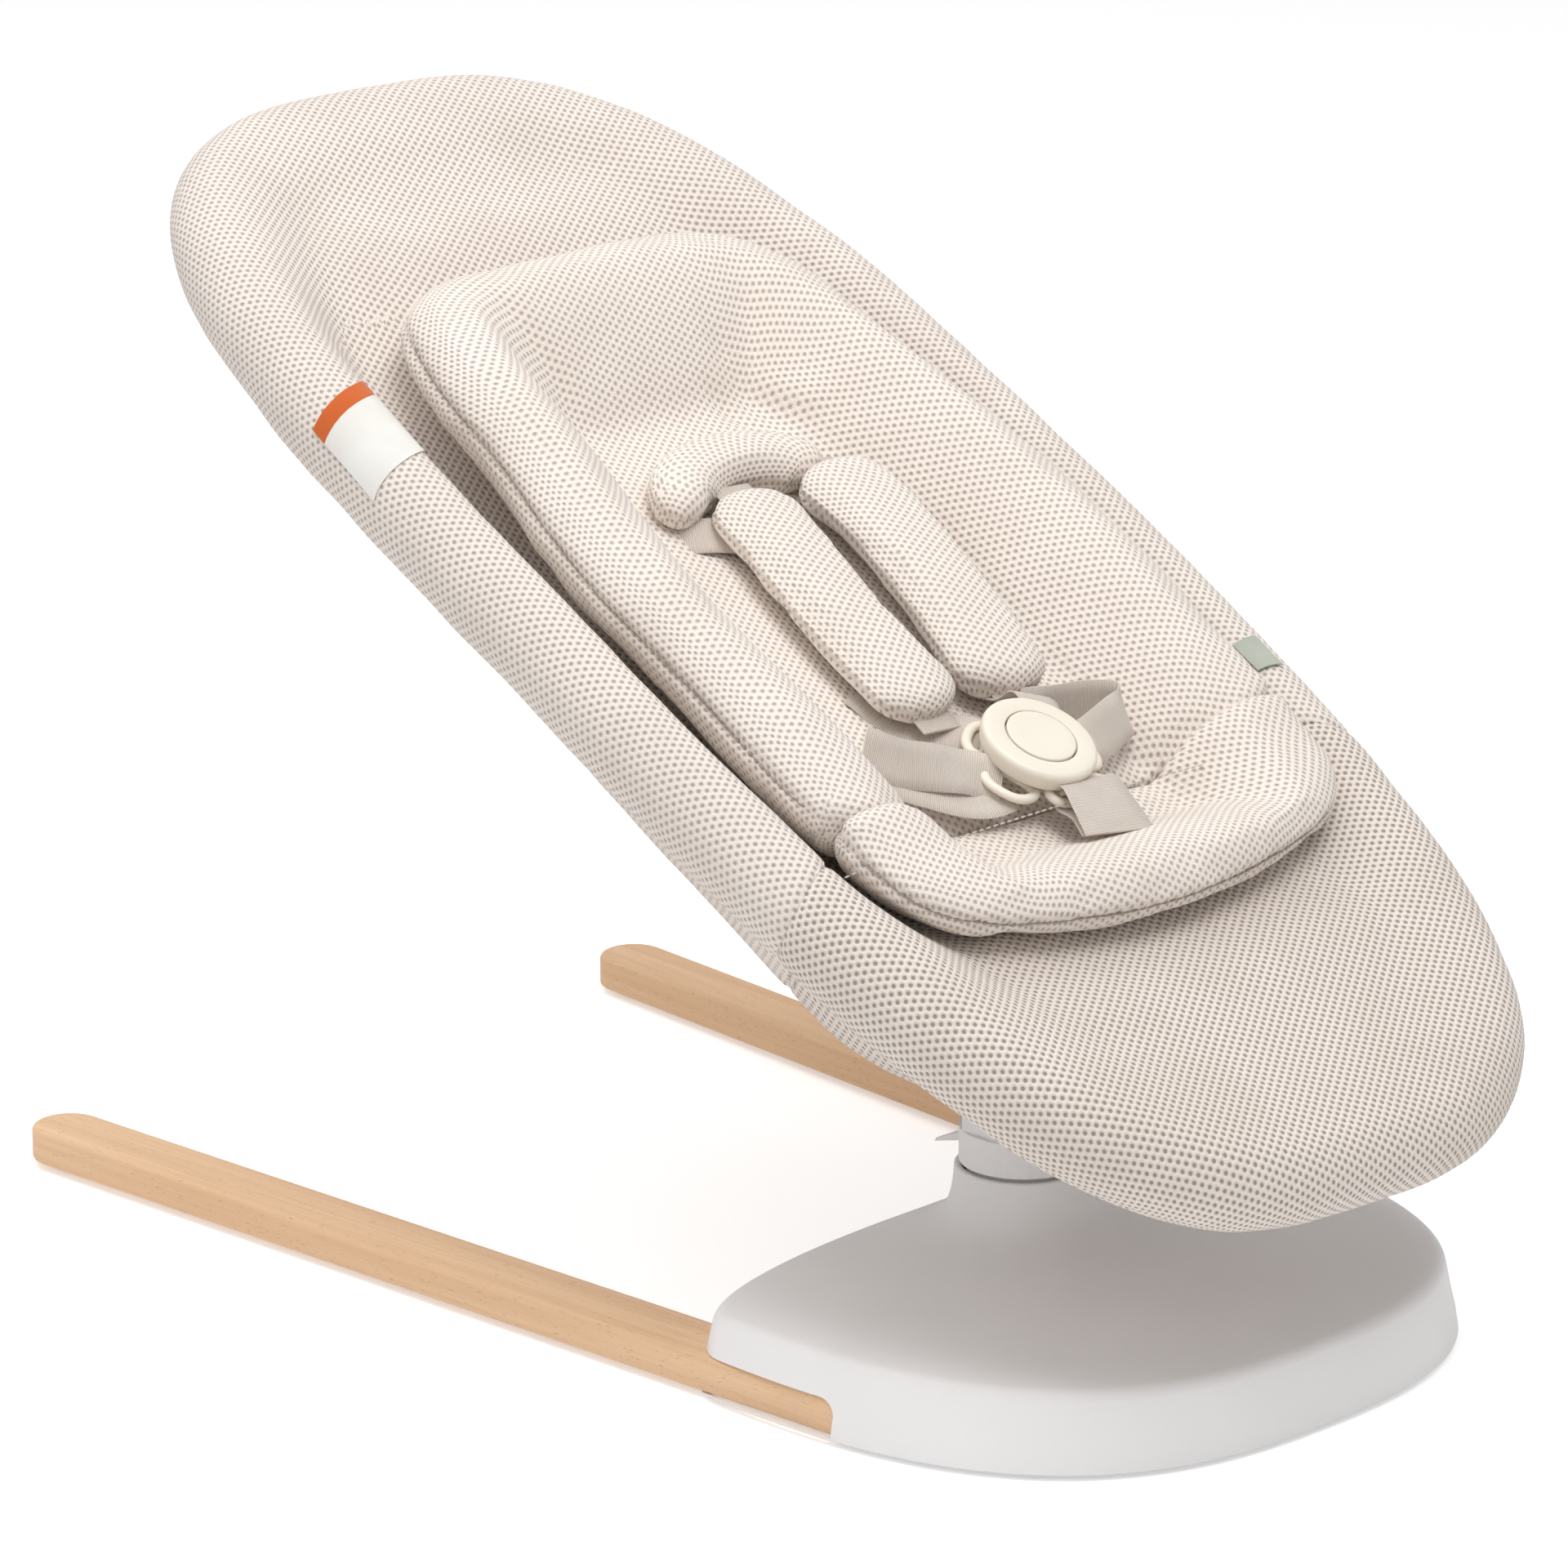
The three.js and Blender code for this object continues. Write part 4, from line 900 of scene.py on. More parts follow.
def smooth_loop(line, passes, closed=True):
    for _ in range(passes):
        before, after = np.roll(line, 1, axis=0), np.roll(line, -1, axis=0)
        if not closed:
            before[0], after[-1] = line[0], line[-1]
        line = line * 0.5 + (before + after) * 0.25
    return line


def press_groove(obj, line, depth, width):
    """Presses a narrow channel into an object along a line of seat-frame points."""
    tree = kdtree.KDTree(len(line))
    for k, point in enumerate(to_world(line)):
        tree.insert(Vector(point), k)
    tree.balance()
    gap = np.array([tree.find(Vector(point))[2] for point in coordinates(obj)]) / MM
    swell(obj, -depth * np.exp(-(gap / width) ** 2))


def soften(table, passes=14):
    """Blurs a table a little each way, so that the cloth's rows stay smooth over a fold."""
    for _ in range(passes):
        wide = np.pad(table, 1, mode="edge")
        table = (wide[:-2, 1:-1] + wide[2:, 1:-1] + wide[1:-1, :-2] + wide[1:-1, 2:]
                 + 2 * wide[1:-1, 1:-1]) / 6
    return table


def pad_map(half, outline, points):
    """Flat map of a pad: its slopes and rounded edge laid out, as wide as the cloth is."""
    x_lines, y_lines = np.linspace(-180, 180, 145), np.linspace(-310, 245, 149)
    grid_x, grid_y = np.meshgrid(x_lines, y_lines)
    height = insert_top(half, grid_x.ravel(), grid_y.ravel()).reshape(grid_x.shape)
    slope_y, slope_x = np.gradient(height, y_lines, x_lines)
    wide = np.hypot(1, np.clip(slope_x, -1.6, 1.6))
    tall = np.hypot(1, np.clip(slope_y, -1.6, 1.6))
    u = np.cumsum(wide, axis=1) * (x_lines[1] - x_lines[0])
    u -= u[:, len(x_lines) // 2][:, None]
    v = np.cumsum(tall, axis=0) * (y_lines[1] - y_lines[0])
    v -= v[np.argmin(np.abs(y_lines + 100))][None]
    u, v = grid_x + soften(u - grid_x), grid_y + soften(v - grid_y)

    def look_up(table):
        i = np.clip((points[:, 0] - x_lines[0]) / (x_lines[1] - x_lines[0]), 0, len(x_lines) - 1.001)
        j = np.clip((points[:, 1] - y_lines[0]) / (y_lines[1] - y_lines[0]), 0, len(y_lines) - 1.001)
        i0, j0 = i.astype(int), j.astype(int)
        fi, fj = i - i0, j - j0
        low = table[j0, i0] * (1 - fi) + table[j0, i0 + 1] * fi
        high = table[j0 + 1, i0] * (1 - fi) + table[j0 + 1, i0 + 1] * fi
        return low * (1 - fj) + high * fj

    distance, nearest, out = outline_distance(points[:, :2], outline)
    inside = np.where(insert_outside(points, nearest, out), -distance, distance)
    reach = np.where(np.abs(nearest[:, 1] - INSERT_JOINT) < JOINT_ZONE, JOINT_CORNER, EDGE_CORNER)
    top = insert_top(half, points[:, 0], points[:, 1])
    in_from_crest = np.clip(reach - inside, 0, None)
    drop = np.clip(top + 1 - points[:, 2], 0, None) * smoothstep(in_from_crest, 0, 9)
    chord = np.hypot(in_from_crest, drop)
    extra = chord * (1 + 0.11 * np.clip(chord / 26, 0, 1) ** 2) - in_from_crest
    return np.stack([look_up(u), look_up(v)], axis=1) + out * extra[:, None]


def insert_outside(points, nearest, out):
    return ((points[:, :2] - nearest) * out).sum(1) > 0


def stuffed_insert(name, node, half, middle, cap):
    outline = whole_outline(half, 240)
    centre = np.array([0.0, middle])
    shares = np.concatenate([[0.08, 0.18, 0.28, 0.38], np.linspace(0.46, 0.9, 14),
                             np.linspace(0.912, 0.998, 11)])
    rings = []
    for over in (True, False):
        for share in shares if over else shares[::-1]:
            flat = centre + share * (outline - centre)
            height = pad_surface(half, flat, outline, over)
            rings.append(np.concatenate([flat, height[:, None]], axis=1))
        if over:
            height = pad_surface(half, outline, outline, True)
            rings.append(np.concatenate([outline, height[:, None]], axis=1))
    seam_line = rings[len(shares)]
    obj = closed_skin(name, rings)
    puff(obj, 5.0, cap)
    places = to_seat(coordinates(obj))
    soft = soft_noise(places, 30.0, 7) * 0.7 + soft_noise(places, 85.0, 2) * 1.5
    if half is INSERT_BACK:
        soft += back_creases(places)
    swell(obj, soft)
    # the side seam is sewn down into a channel
    seam_line = smooth_loop(snapped(obj, seam_line)[0], 12)
    press_groove(obj, seam_line, *SEAM_CHANNEL)
    write_map(obj, pad_map(half, outline, to_seat(coordinates(obj))))
    enter(obj, "insert", node)
    return obj, seam_line


def crease(points, start, end, depth, width):
    """A soft fold between two plan points, fading out at its ends."""
    start, end = np.array(start, float), np.array(end, float)
    run = end - start
    length = np.hypot(*run)
    along = ((points[:, :2] - start) @ run) / length ** 2
    aside = (points[:, 0] - start[0]) * run[1] / length - (points[:, 1] - start[1]) * run[0] / length
    fade = smoothstep(along, -0.15, 0.25) * (1 - smoothstep(along, 0.75, 1.15))
    up = points[:, 2] > -12
    return -depth * np.exp(-(aside / width) ** 2) * fade * up


def back_creases(points):
    folds = [((-78, 196), (-52, 120), 3.0, 7.0), ((52, 160), (72, 78), 2.2, 8.0),
             ((38, 128), (62, 70), 2.6, 6.0), ((58, 138), (86, 84), -1.6, 7.0),
             ((-62, 100), (-76, 20), 2.2, 7.0), ((-92, -60), (-84, -150), 2.0, 8.0),
             ((-112, 60), (-128, 0), 1.2, 9.0), ((-104, -20), (-130, -70), 1.2, 9.0)]
    total = np.zeros(len(points))
    for start, end, depth, width in folds:
        total += crease(points, start, end, depth, width)
    return total


def stitches(name, line, length, gap, radius, material, closed=False):
    """A row of thread stitches along a line of seat-frame points."""
    line = np.asarray(line, float)
    if closed:
        line = np.concatenate([line, line[:1]])
    run = travelled(line)
    count = int(run[-1] / (length + gap))
    step = run[-1] / count
    vertices, faces = [], []
    for k in range(count):
        spots = (k * step, k * step + length / 2, k * step + length)
        a, b, c = (np.array([np.interp(s, run, line[:, i]) for i in range(3)]) for s in spots)
        along = (c - a) / max(np.linalg.norm(c - a), 1e-6)
        side = np.cross(along, (0.0, 0.0, 1.0))
        side /= max(np.linalg.norm(side), 1e-6)
        over = np.cross(side, along)
        base = len(vertices)
        for centre, size in ((a, 0.35), (b, 1.0), (c, 0.35)):
            for corner in range(6):
                turn = corner * math.pi / 3
                offset = side * math.cos(turn) + over * math.sin(turn)
                vertices.append(centre + offset * radius * size)
        faces += [(base + j * 6 + i, base + j * 6 + (i + 1) % 6,
                   base + (j + 1) * 6 + (i + 1) % 6, base + (j + 1) * 6 + i)
                  for j in range(2) for i in range(6)]
        faces.append(tuple(base + i for i in reversed(range(6))))
        faces.append(tuple(base + 12 + i for i in range(6)))
    enter(mesh_object(name, to_world(vertices), faces), material)


back_pad, back_seam = stuffed_insert("insert_back_pad", "insert_back", INSERT_BACK, 20.0, 4.5)
seat_pad, seat_seam = stuffed_insert("insert_seat_pad", "insert_seat", INSERT_SEAT, -236.0, 4.0)
# Stitches along each pad's seam channel, in the darker stitch material that paints the channel's shade.
for word, obj, line in (("back", back_pad, back_seam), ("seat", seat_pad, seat_seam)):
    free = np.abs(line[:, 1] - INSERT_JOINT) > STITCH_FREE
    start = int(np.argmax(~free))
    line, free = np.roll(line, -start, axis=0), np.roll(free, -start)
    places, ways = snapped(obj, line[free])
    stitches(f"insert_stitching_{word}", smooth_loop(places + ways * 0.3, 6, False), 4.4, 0.5, 0.75,
             "stitch_painted_shade")


# ---------- shoulder pads and yoke ----------
def tube_rings(line, widths, heights, wide, power=2.4, sides=28):
    """Rounded flat rings along a line. wide is each ring's direction across."""
    rings = []
    along = unit(np.gradient(line, axis=0))
    for centre, run, across, half_width, half_height in zip(line, along, wide, widths, heights):
        over = np.cross(across, run)
        over /= np.linalg.norm(over)
        side = np.cross(run, over)
        turn = np.linspace(0, 2 * math.pi, sides, endpoint=False)
        a = half_width * signed_power(np.cos(turn), 2 / power)
        b = half_height * signed_power(np.sin(turn), 2 / power)
        rings.append(centre + a[:, None] * side + b[:, None] * over)
    return rings


def end_rounding(count, length, radius):
    at = np.linspace(0, length, count)
    near = np.minimum(at, length - at)
    part = np.clip(near / radius, 0, 1)
    return np.sqrt(np.clip(1 - (1 - part) ** 2, 0.02, 1))


def stuffed_bar(name, node, line, half_width, half_height, wide, end_radius):
    """A stuffed pad along a line. wide(share of its length) is its direction across."""
    count = 44
    path = catmull_rom(line, count)
    length = np.linalg.norm(np.diff(path, axis=0), axis=1).sum()
    shape = end_rounding(count, length, end_radius)
    ends = end_rounding(count, length, half_height)
    across = np.array([wide(k / (count - 1)) for k in range(count)])
    rings = tube_rings(path, half_width * shape, half_height * ends, across)
    obj = closed_skin(name, rings)
    puff(obj, 4.0, 4.0)
    places = to_seat(coordinates(obj))
    soft = soft_noise(places, 24.0, 11) * 0.8
    # a seam runs round the side where the two faces meet
    out_seat = to_seat(coordinates(obj) + normals(obj) * MM) - places
    sideways = 1 - np.abs(out_seat[:, 2])
    level = path[np.argmin(((places[:, None, :2] - path[None, :, :2]) ** 2).sum(2), axis=1), 2]
    groove = 1.5 * np.exp(-((places[:, 2] - level) / 1.8) ** 2) * sideways
    swell(obj, soft - groove)
    write_map(obj, bar_map(to_seat(coordinates(obj)), path))
    enter(obj, "insert", node)


def bar_map(points, path):
    """Across and along a bar, with its rounded sides and ends laid out flat."""
    run = travelled(path)
    inner = slice(4, len(path) - 4)
    core, core_run = path[inner], run[inner]
    index = ((points[:, None, :2] - core[None, :, :2]) ** 2).sum(2).argmin(1)
    along = unit(np.gradient(path[:, :2], axis=0)[inner])
    offset = points[:, :2] - core[index, :2]
    ahead = (offset * along[index]).sum(1)
    side = offset[:, 0] * along[index, 1] - offset[:, 1] * along[index, 0]
    reach = np.maximum(np.hypot(side, ahead), 1e-6)
    drop = 0.85 * np.clip(core[index, 2] + 11 - points[:, 2], 0, 34) * smoothstep(reach, 4, 20)
    return np.stack([side + side / reach * drop, core_run[index] + ahead + ahead / reach * drop], axis=1)


SHOULDERS = {
    "left": ([(-18, 42, 16), (-22, 0, 17), (-29, -60, 17), (-28, -133, 15)], 29.0, 10.0),
    "right": ([(44, 46, 17), (45, 0, 20), (38, -60, 20), (27, -134, 17)], 31.0, 12.0),
}
for word, (line, half_width, half_height) in SHOULDERS.items():
    stuffed_bar(f"shoulder_pad_soft_{word}", f"shoulder_pad_{word}", line, half_width, half_height,
                lambda t: np.array([1.0, 0.1, 0.0]), 22.0)

YOKE_CENTRE = (-4.0, 42.0)
YOKE_REACH = (45.0, 25.0)
YOKE_HEIGHT = 12.5
YOKE_START, YOKE_STOP = math.radians(196), math.radians(2)
yoke_line = [(YOKE_CENTRE[0] + YOKE_REACH[0] * math.cos(t), YOKE_CENTRE[1] + YOKE_REACH[1] * math.sin(t),
              YOKE_HEIGHT) for t in np.linspace(YOKE_START, YOKE_STOP, 9)]


def yoke_wide(share):
    turn = YOKE_START + (YOKE_STOP - YOKE_START) * share
    return np.array([math.cos(turn), math.sin(turn) * 0.8, 0.0])


stuffed_bar("harness_yoke_soft", "harness_yoke", yoke_line, 20.5, 11.5, yoke_wide, 13.0)


# ---------- webbing ----------
WEBBING_WIDTH = 25
WEBBING_THICKNESS = 1.5


def ribbon(name, node, line, across, width, width_end=None, steps=40):
    """A flat strap through the given points. across holds its width's direction at each of them."""
    path = catmull_rom(line, steps)
    wide = unit(catmull_rom(across, steps))
    along = unit(np.gradient(path, axis=0))
    over = unit(np.cross(wide, along))
    side = np.cross(along, over)
    widths = np.linspace(width, width_end or width, steps)
    run = travelled(path)
    section = [(-0.5, 0.0), (-0.485, -0.4), (-0.25, -0.5), (0.0, -0.5), (0.25, -0.5), (0.485, -0.4),
               (0.5, 0.0), (0.485, 0.4), (0.25, 0.5), (0.0, 0.5), (-0.25, 0.5), (-0.485, 0.4)]
    rings, flat = [], []
    for k in range(steps):
        rings.append(np.array([path[k] + side[k] * a * widths[k] + over[k] * b * WEBBING_THICKNESS
                               for a, b in section]))
        flat.append(np.array([(a * widths[k], run[k]) for a, _ in section]))
    obj = closed_skin(name, rings)
    write_map(obj, np.concatenate(flat + [flat[0].mean(0)[None], flat[-1].mean(0)[None]]))
    sharpen(obj, 60)
    enter(obj, "webbing", node)


# name, CAD node, points, width's direction at each, width at the start and at the end
STRAPS = [
    ("webbing_waist_left", "waist_strap_left",
     [(-97, -148, 24), (-79, -159, 20), (-59, -168, 19), (-42, -175, 17), (-29, -185, 16)],
     [(0.1, 0.76, 0.64), (0.1, 0.76, 0.64), (0.05, 0.76, 0.64), (-0.2, 0.8, 0.5), (-0.5, 0.85, 0.2)],
     WEBBING_WIDTH),
    ("webbing_waist_left_under", None,
     [(-86, -160, 14), (-71, -171, 11), (-55, -182, 10), (-42, -188, 11), (-30, -189, 13)],
     [(0.3, 0.9, 0.3), (0.3, 0.9, 0.2), (0.4, 0.9, 0.1), (0.3, 0.9, 0.1), (-0.1, 1.0, 0.1)],
     WEBBING_WIDTH),
    ("webbing_waist_right", "waist_strap_right",
     [(33, -178, 15), (47, -176, 19), (64, -171, 21), (76, -166, 19), (79, -158, 16),
      (68, -150, 13), (50, -144, 10), (30, -139, 8)],
     [(-0.45, 0.85, 0.3), (-0.35, 0.8, 0.45), (-0.2, 0.65, 0.7), (0.0, 0.45, 0.9),
      (0.1, 0.35, 0.9), (0.1, 0.45, 0.85), (0.1, 0.5, 0.85), (0.1, 0.5, 0.85)], WEBBING_WIDTH),
    ("webbing_upper_left", None,
     [(-46, -96, 5), (-40, -116, 4), (-30, -132, 6), (-19, -143, 11), (-12, -152, 14)],
     [(0.8, 0.5, 0.1), (0.8, 0.55, 0.1), (0.7, 0.6, 0.2), (0.75, 0.55, 0.2), (0.8, 0.5, 0.1)],
     WEBBING_WIDTH),
    ("webbing_upper_right", None,
     [(24, -124, 8), (26, -136, 14), (25, -143, 24), (22, -152, 27), (18, -161, 21)],
     [(1.0, -0.15, -0.1), (1.0, -0.2, -0.15), (1.0, -0.2, -0.2), (0.95, -0.3, -0.2),
      (0.9, -0.4, -0.1)], WEBBING_WIDTH),
    ("webbing_crotch", "crotch_strap",
     [(7, -203, 17), (8, -204, 23), (7, -209, 26.5), (4, -224, 25.5), (1, -241, 23)],
     [(1.0, -0.05, 0.0), (1.0, -0.05, 0.0), (1.0, -0.05, 0.0), (1.0, -0.07, 0.0),
      (1.0, -0.08, 0.0)], 34, 44),
    ("webbing_crotch_under", None,
     [(7, -206, 15), (6, -211, 14.5), (4, -224, 20), (1, -239, 20.5)],
     [(1.0, -0.05, 0.0), (1.0, -0.05, 0.0), (1.0, -0.07, 0.0), (1.0, -0.08, 0.0)], 34, 42),
]
for strap in STRAPS:
    ribbon(*strap)
for word, (line, _, _) in SHOULDERS.items():
    top, bottom = np.array(line[0], float), np.array(line[-1], float)
    direction = (top - bottom) / np.linalg.norm(top - bottom)
    start, stop = bottom - direction * 7, top + direction * 6
    start[2] -= 3
    ribbon(f"webbing_shoulder_{word}", f"shoulder_strap_{word}",
           [start, (start + stop) / 2 + np.array([0, 0, 1.5]), stop], [(1.0, 0.1, 0.0)] * 3,
           WEBBING_WIDTH)
ribbon("webbing_yoke_end", None, [(-58, 34, 2), (-52, 30, 6), (-42, 24, 9), (-30, 18, 10)],
       [(0.35, 0.9, 0.2)] * 4, 22)


# ---------- buckle ----------
def turned(name, profile, centre, sides=72):
    """A turned piece: (radius, height) pairs about the seat frame's up direction."""
    turn = np.linspace(0, 2 * math.pi, sides, endpoint=False)
    rings = []
    for radius, height in profile:
        rings.append(np.stack([centre[0] + radius * np.cos(turn), centre[1] + radius * np.sin(turn),
                               np.full(sides, centre[2] + height)], axis=1))
    obj = closed_skin(name, rings)
    sharpen(obj, 50)
    return obj


def corner(radius, height, size, start, stop, steps=6):
    """Profile points round a corner whose centre is at (radius, height)."""
    angles = np.linspace(math.radians(start), math.radians(stop), steps)
    return [(radius + size * math.cos(a), height + size * math.sin(a)) for a in angles]


BUCKLE_AT = (0.0, -176.0, 31.0)
shell_profile = ([(0.01, -11.0)] + corner(27.5, -9.0, 2.0, -90, 0) + [(30.4, -6.0)]
                 + corner(27.5, -3.2, 3.2, 0, 88)
                 + [(24.0, 0.25), (20.5, 0.35), (19.4, 0.1), (19.1, -0.8), (19.1, -7.6), (0.01, -7.6)])
enter(turned("buckle_shell", shell_profile, BUCKLE_AT), "buckle", "buckle_body")
button_profile = ([(0.01, -4.6), (17.6, -4.6), (18.4, -4.0), (18.4, -0.4)]
                  + corner(17.5, 0.0, 0.9, 0, 85, 5) + [(14.0, 1.0), (8.0, 0.75), (0.01, 0.6)])
enter(turned("buckle_push_button", button_profile, BUCKLE_AT), "buckle", "buckle_button",
      "button")


LOOP_BAR = 2.5                       # radius of a loop's bar


def loop_ring(name, node, centre, turn, half_wide, half_deep, height):
    """A D-shaped moulded loop for the webbing. Its straight bar is toward the buckle."""
    corners = [(-half_wide, -half_deep), (half_wide, -half_deep), (half_wide, half_deep * 0.1),
               (half_wide * 0.55, half_deep), (-half_wide * 0.55, half_deep),
               (-half_wide, half_deep * 0.1)]
    path = catmull_rom([(x, y, 0.0) for x, y in corners], 44, closed=True)
    along = unit(np.roll(path, -1, axis=0) - np.roll(path, 1, axis=0))
    up = np.array([0.0, 0.0, 1.0])
    angles = np.linspace(0, 2 * math.pi, 10, endpoint=False)
    rings = []
    for place, run in zip(path, along):
        side = np.cross(run, up)
        rings.append(np.array([place + LOOP_BAR * 1.15 * math.cos(a) * side
                               + LOOP_BAR * 0.85 * math.sin(a) * up for a in angles]))
    points = np.concatenate(rings)
    c, s = math.cos(turn), math.sin(turn)
    x, y, z = points[:, 0], points[:, 1], points[:, 2]
    points = np.stack([centre[0] + x * c - y * s, centre[1] + x * s + y * c, height + z], axis=1)
    obj = mesh_object(name, to_world(points), band_faces(len(rings), len(angles), wrap=True))
    face_outward(obj)
    enter(obj, "buckle", node)


# place in plan, turn, half width, half depth and height
LOOPS = [
    ("upper_left", (-18, -154), 0.6, 12, 4.5, 15.5), ("upper_right", (18, -156), -0.5, 12, 4.5, 18.0),
    ("lower_left", (-28, -188), 2.0, 13, 6.5, 16.5), ("lower_right", (31, -180), -1.5, 12, 4.5, 17.0),
    ("crotch", (7, -207), math.pi, 18, 5.5, 18.0),
]
for word, *shape in LOOPS:
    loop_ring(f"buckle_loop_{word}", f"strap_loop_{word}", *shape)


# ---------- sewn-on pieces ----------
def sewn_patch(name, corners, target, material, lift=0.7, thickness=0.5, across=14,
               along=12):
    """A flat piece between four seat-frame corners, laid on the surface under it."""
    a, b, c, d = (np.array(corner, float) for corner in corners)
    rows = []
    for v in np.linspace(0, 1, along):
        for u in np.linspace(0, 1, across):
            rows.append((a * (1 - u) + b * u) * (1 - v) + (d * (1 - u) + c * u) * v)
    rows = np.array(rows)
    axis = np.stack([np.sign(rows[:, 0]) * HALF_WIDTH, rows[:, 1], BOW * rows[:, 1] ** 2], axis=1)
    rows = axis + unit(rows - axis) * (RIM + 8)
    places, ways = snapped(target, rows)
    places = places + ways * lift
    faces = [(j * across + i, j * across + i + 1, (j + 1) * across + i + 1, (j + 1) * across + i)
             for j in range(along - 1) for i in range(across - 1)]
    obj = mesh_object(name, to_world(places), faces)
    if (normals(obj).mean(0) @ (to_world(ways.mean(0)[None])[0] - to_world(np.zeros((1, 3)))[0])) < 0:
        obj.data.flip_normals()
    flat = [(u * np.linalg.norm(b - a), v * np.linalg.norm(d - a))
            for v in np.linspace(0, 1, along) for u in np.linspace(0, 1, across)]
    write_map(obj, np.array(flat))
    thicken(obj, thickness, 0.0)
    sharpen(obj, 50)
    enter(obj, material)


LABEL_HEAD = ((-207, 160, 6.5), (-165, 174, 24))
LABEL_FOOT = ((-210, 104, 6.5), (-171, 115, 24))
BAND = 0.2                           # share of the label's length
band_foot = [np.array(head) * (1 - BAND) + np.array(foot) * BAND
             for head, foot in zip(LABEL_HEAD, LABEL_FOOT)]
sewn_patch("label_top_band", (*LABEL_HEAD, *band_foot[::-1]),
           cover_upper, "label_band", along=5)
sewn_patch("label_blank", (*band_foot, *LABEL_FOOT[::-1]),
           cover_upper, "label")
sewn_patch("rim_tag", ((174, -146, 20), (188, -148, 22), (188, -170, 22), (174, -167, 20)),
           cover_upper, "tag", lift=1.6, thickness=0.9, across=6, along=9)


def cover_seam_line():
    """Points on the covers' outer skin along their joint, in order round the section."""
    points = to_seat(coordinates(cover_lower))
    near = np.abs(seam_level(points[:, 0], points[:, 1])) < 0.6
    points = points[near]
    turn = np.arctan2(points[:, 2] + 12, points[:, 0])
    reach = np.hypot(points[:, 0], points[:, 2] + 12)
    line = []
    for start in np.arange(-math.pi, math.pi, math.radians(1.5)):
        inside = (turn >= start) & (turn < start + math.radians(1.5))
        if inside.any():
            line.append(points[inside][np.argmax(reach[inside])])
    return np.array(line)


seam_points = smooth_loop(cover_seam_line(), 2)
stitches("cover_stitching", catmull_rom(seam_points, 500, closed=True), 3.6, 1.3, 0.6, "thread",
         closed=True)


# ---------- base ----------
NECK_Y = -512.0
BASE_HALF_WIDTH = 198.0
BASE_MID_Y = -495.0
BASE_FRONT = 230.0
BASE_REAR = 58.0
FRONT_POWER = 2.65
REAR_POWER = 2.3
LEG_REAR_X = 208.3
LEG_SPLAY = 0.066
LEG_HALF = 19.5
LEG_BOTTOM = 3.5
LEG_TOP = 21.9
LEG_LENGTH = 571.0
LEG_NOSE = 10.0                      # radius of the leg's upper front corner
LEG_EDGE = 3.0                       # radius of its long edges
LEG_PLAY = 0.45                      # gap round it in the housing
BASE_OVAL = Oval(BASE_HALF_WIDTH, (BASE_REAR, BASE_FRONT), (REAR_POWER, FRONT_POWER))


def base_outline(count, grow):
    x, y = BASE_OVAL.around(8001)
    run = np.concatenate([[0], np.cumsum(np.hypot(np.diff(x), np.diff(y)))])
    at = np.arange(count) * run[-1] / count
    x, y = np.interp(at, run, x), np.interp(at, run, y)
    nx, ny = BASE_OVAL.normal(x, y)
    return x + grow * nx, BASE_MID_Y + y + grow * ny


def housing_ring(share, radius, grow, z, count=200):
    """A plan ring between a circle round the neck, at share 0, and the base's outline, at 1."""
    x, y = base_outline(count, grow)
    even = np.arctan2(x, y - NECK_Y)
    ring_x = radius * np.sin(even)
    ring_y = NECK_Y + radius * np.cos(even)
    return np.stack([ring_x * (1 - share) + x * share, ring_y * (1 - share) + y * share,
                     np.full(count, z)], axis=1)


def make_housing():
    # every row is share, radius, grow and height
    deck = [(0.965, 60, -14.6, 43.0), (0.8, 60, -14.6, 43.6), (0.55, 57, -14.6, 44.8),
            (0.3, 54, -14.6, 46.4), (0.12, 49, -14.6, 48.6), (0.03, 44.5, -14.6, 51.6),
            (0.0, 40.5, -14.6, 55.6), (0.0, 37.4, -14.6, 61.0), (0.0, 35.4, -14.6, 68.5),
            (0.0, 34.5, -14.6, 76.0), (0.0, 34.2, -14.6, 81.2)]
    outer = [(1, 60, -0.8, 2.5), (1, 60, 0.0, 3.3), (1, 60, -1.6, 13.0), (1, 60, -4.2, 24.0)]
    edge_radius = 8.0
    for k in range(9):
        a = math.radians(14 + 72 * k / 8)
        outer.append((1, 60, -6.6 - edge_radius * (1 - math.cos(a)), 34.8 + edge_radius * math.sin(a)))
    # share, radius, grow and height change smoothly over the deck and up the neck
    scale = np.array([200.0, 1.0, 1.0, 1.0])
    path = catmull_rom(np.array([outer[-1]] + deck) * scale, 46) / scale
    outer = outer[:-1] + [tuple(row) for row in path]
    outer += [(0, 33.6, 0, 81.9), (0, 32.6, 0, 82.0)]
    inner = [(0, 31.2, 0, 81.9), (0, 31.0, 0, 81.0), (0, 31.0, 0, 47.0), (0.08, 45, -10, 45.5),
             (0.8, 58, -16, 40.5), (1, 0, -17, 39.5), (1, 0, -10.5, 32.0), (1, 0, -3.4, 4.0),
             (1, 0, -3.4, 2.5)]
    rings = [housing_ring(*row) for row in outer + inner]
    faces = band_faces(len(rings), len(rings[0]), wrap=True)
    obj = mesh_object("base_shell", base_to_world(np.concatenate(rings)), faces)
    face_outward(obj)
    for side in (-1, 1):
        cutter = leg_mesh(f"cutter_{side}", side, LEG_PLAY, 24.0)
        carve = obj.modifiers.new(f"leg_{side}", "BOOLEAN")
        carve.operation = "DIFFERENCE"
        carve.solver = "MANIFOLD"
        carve.object = cutter
    apply_modifiers(obj)
    for side in (-1, 1):
        bpy.data.objects.remove(bpy.data.objects[f"cutter_{side}"])
    sharpen(obj, 32)
    enter(obj, "housing", "base_housing", "base")


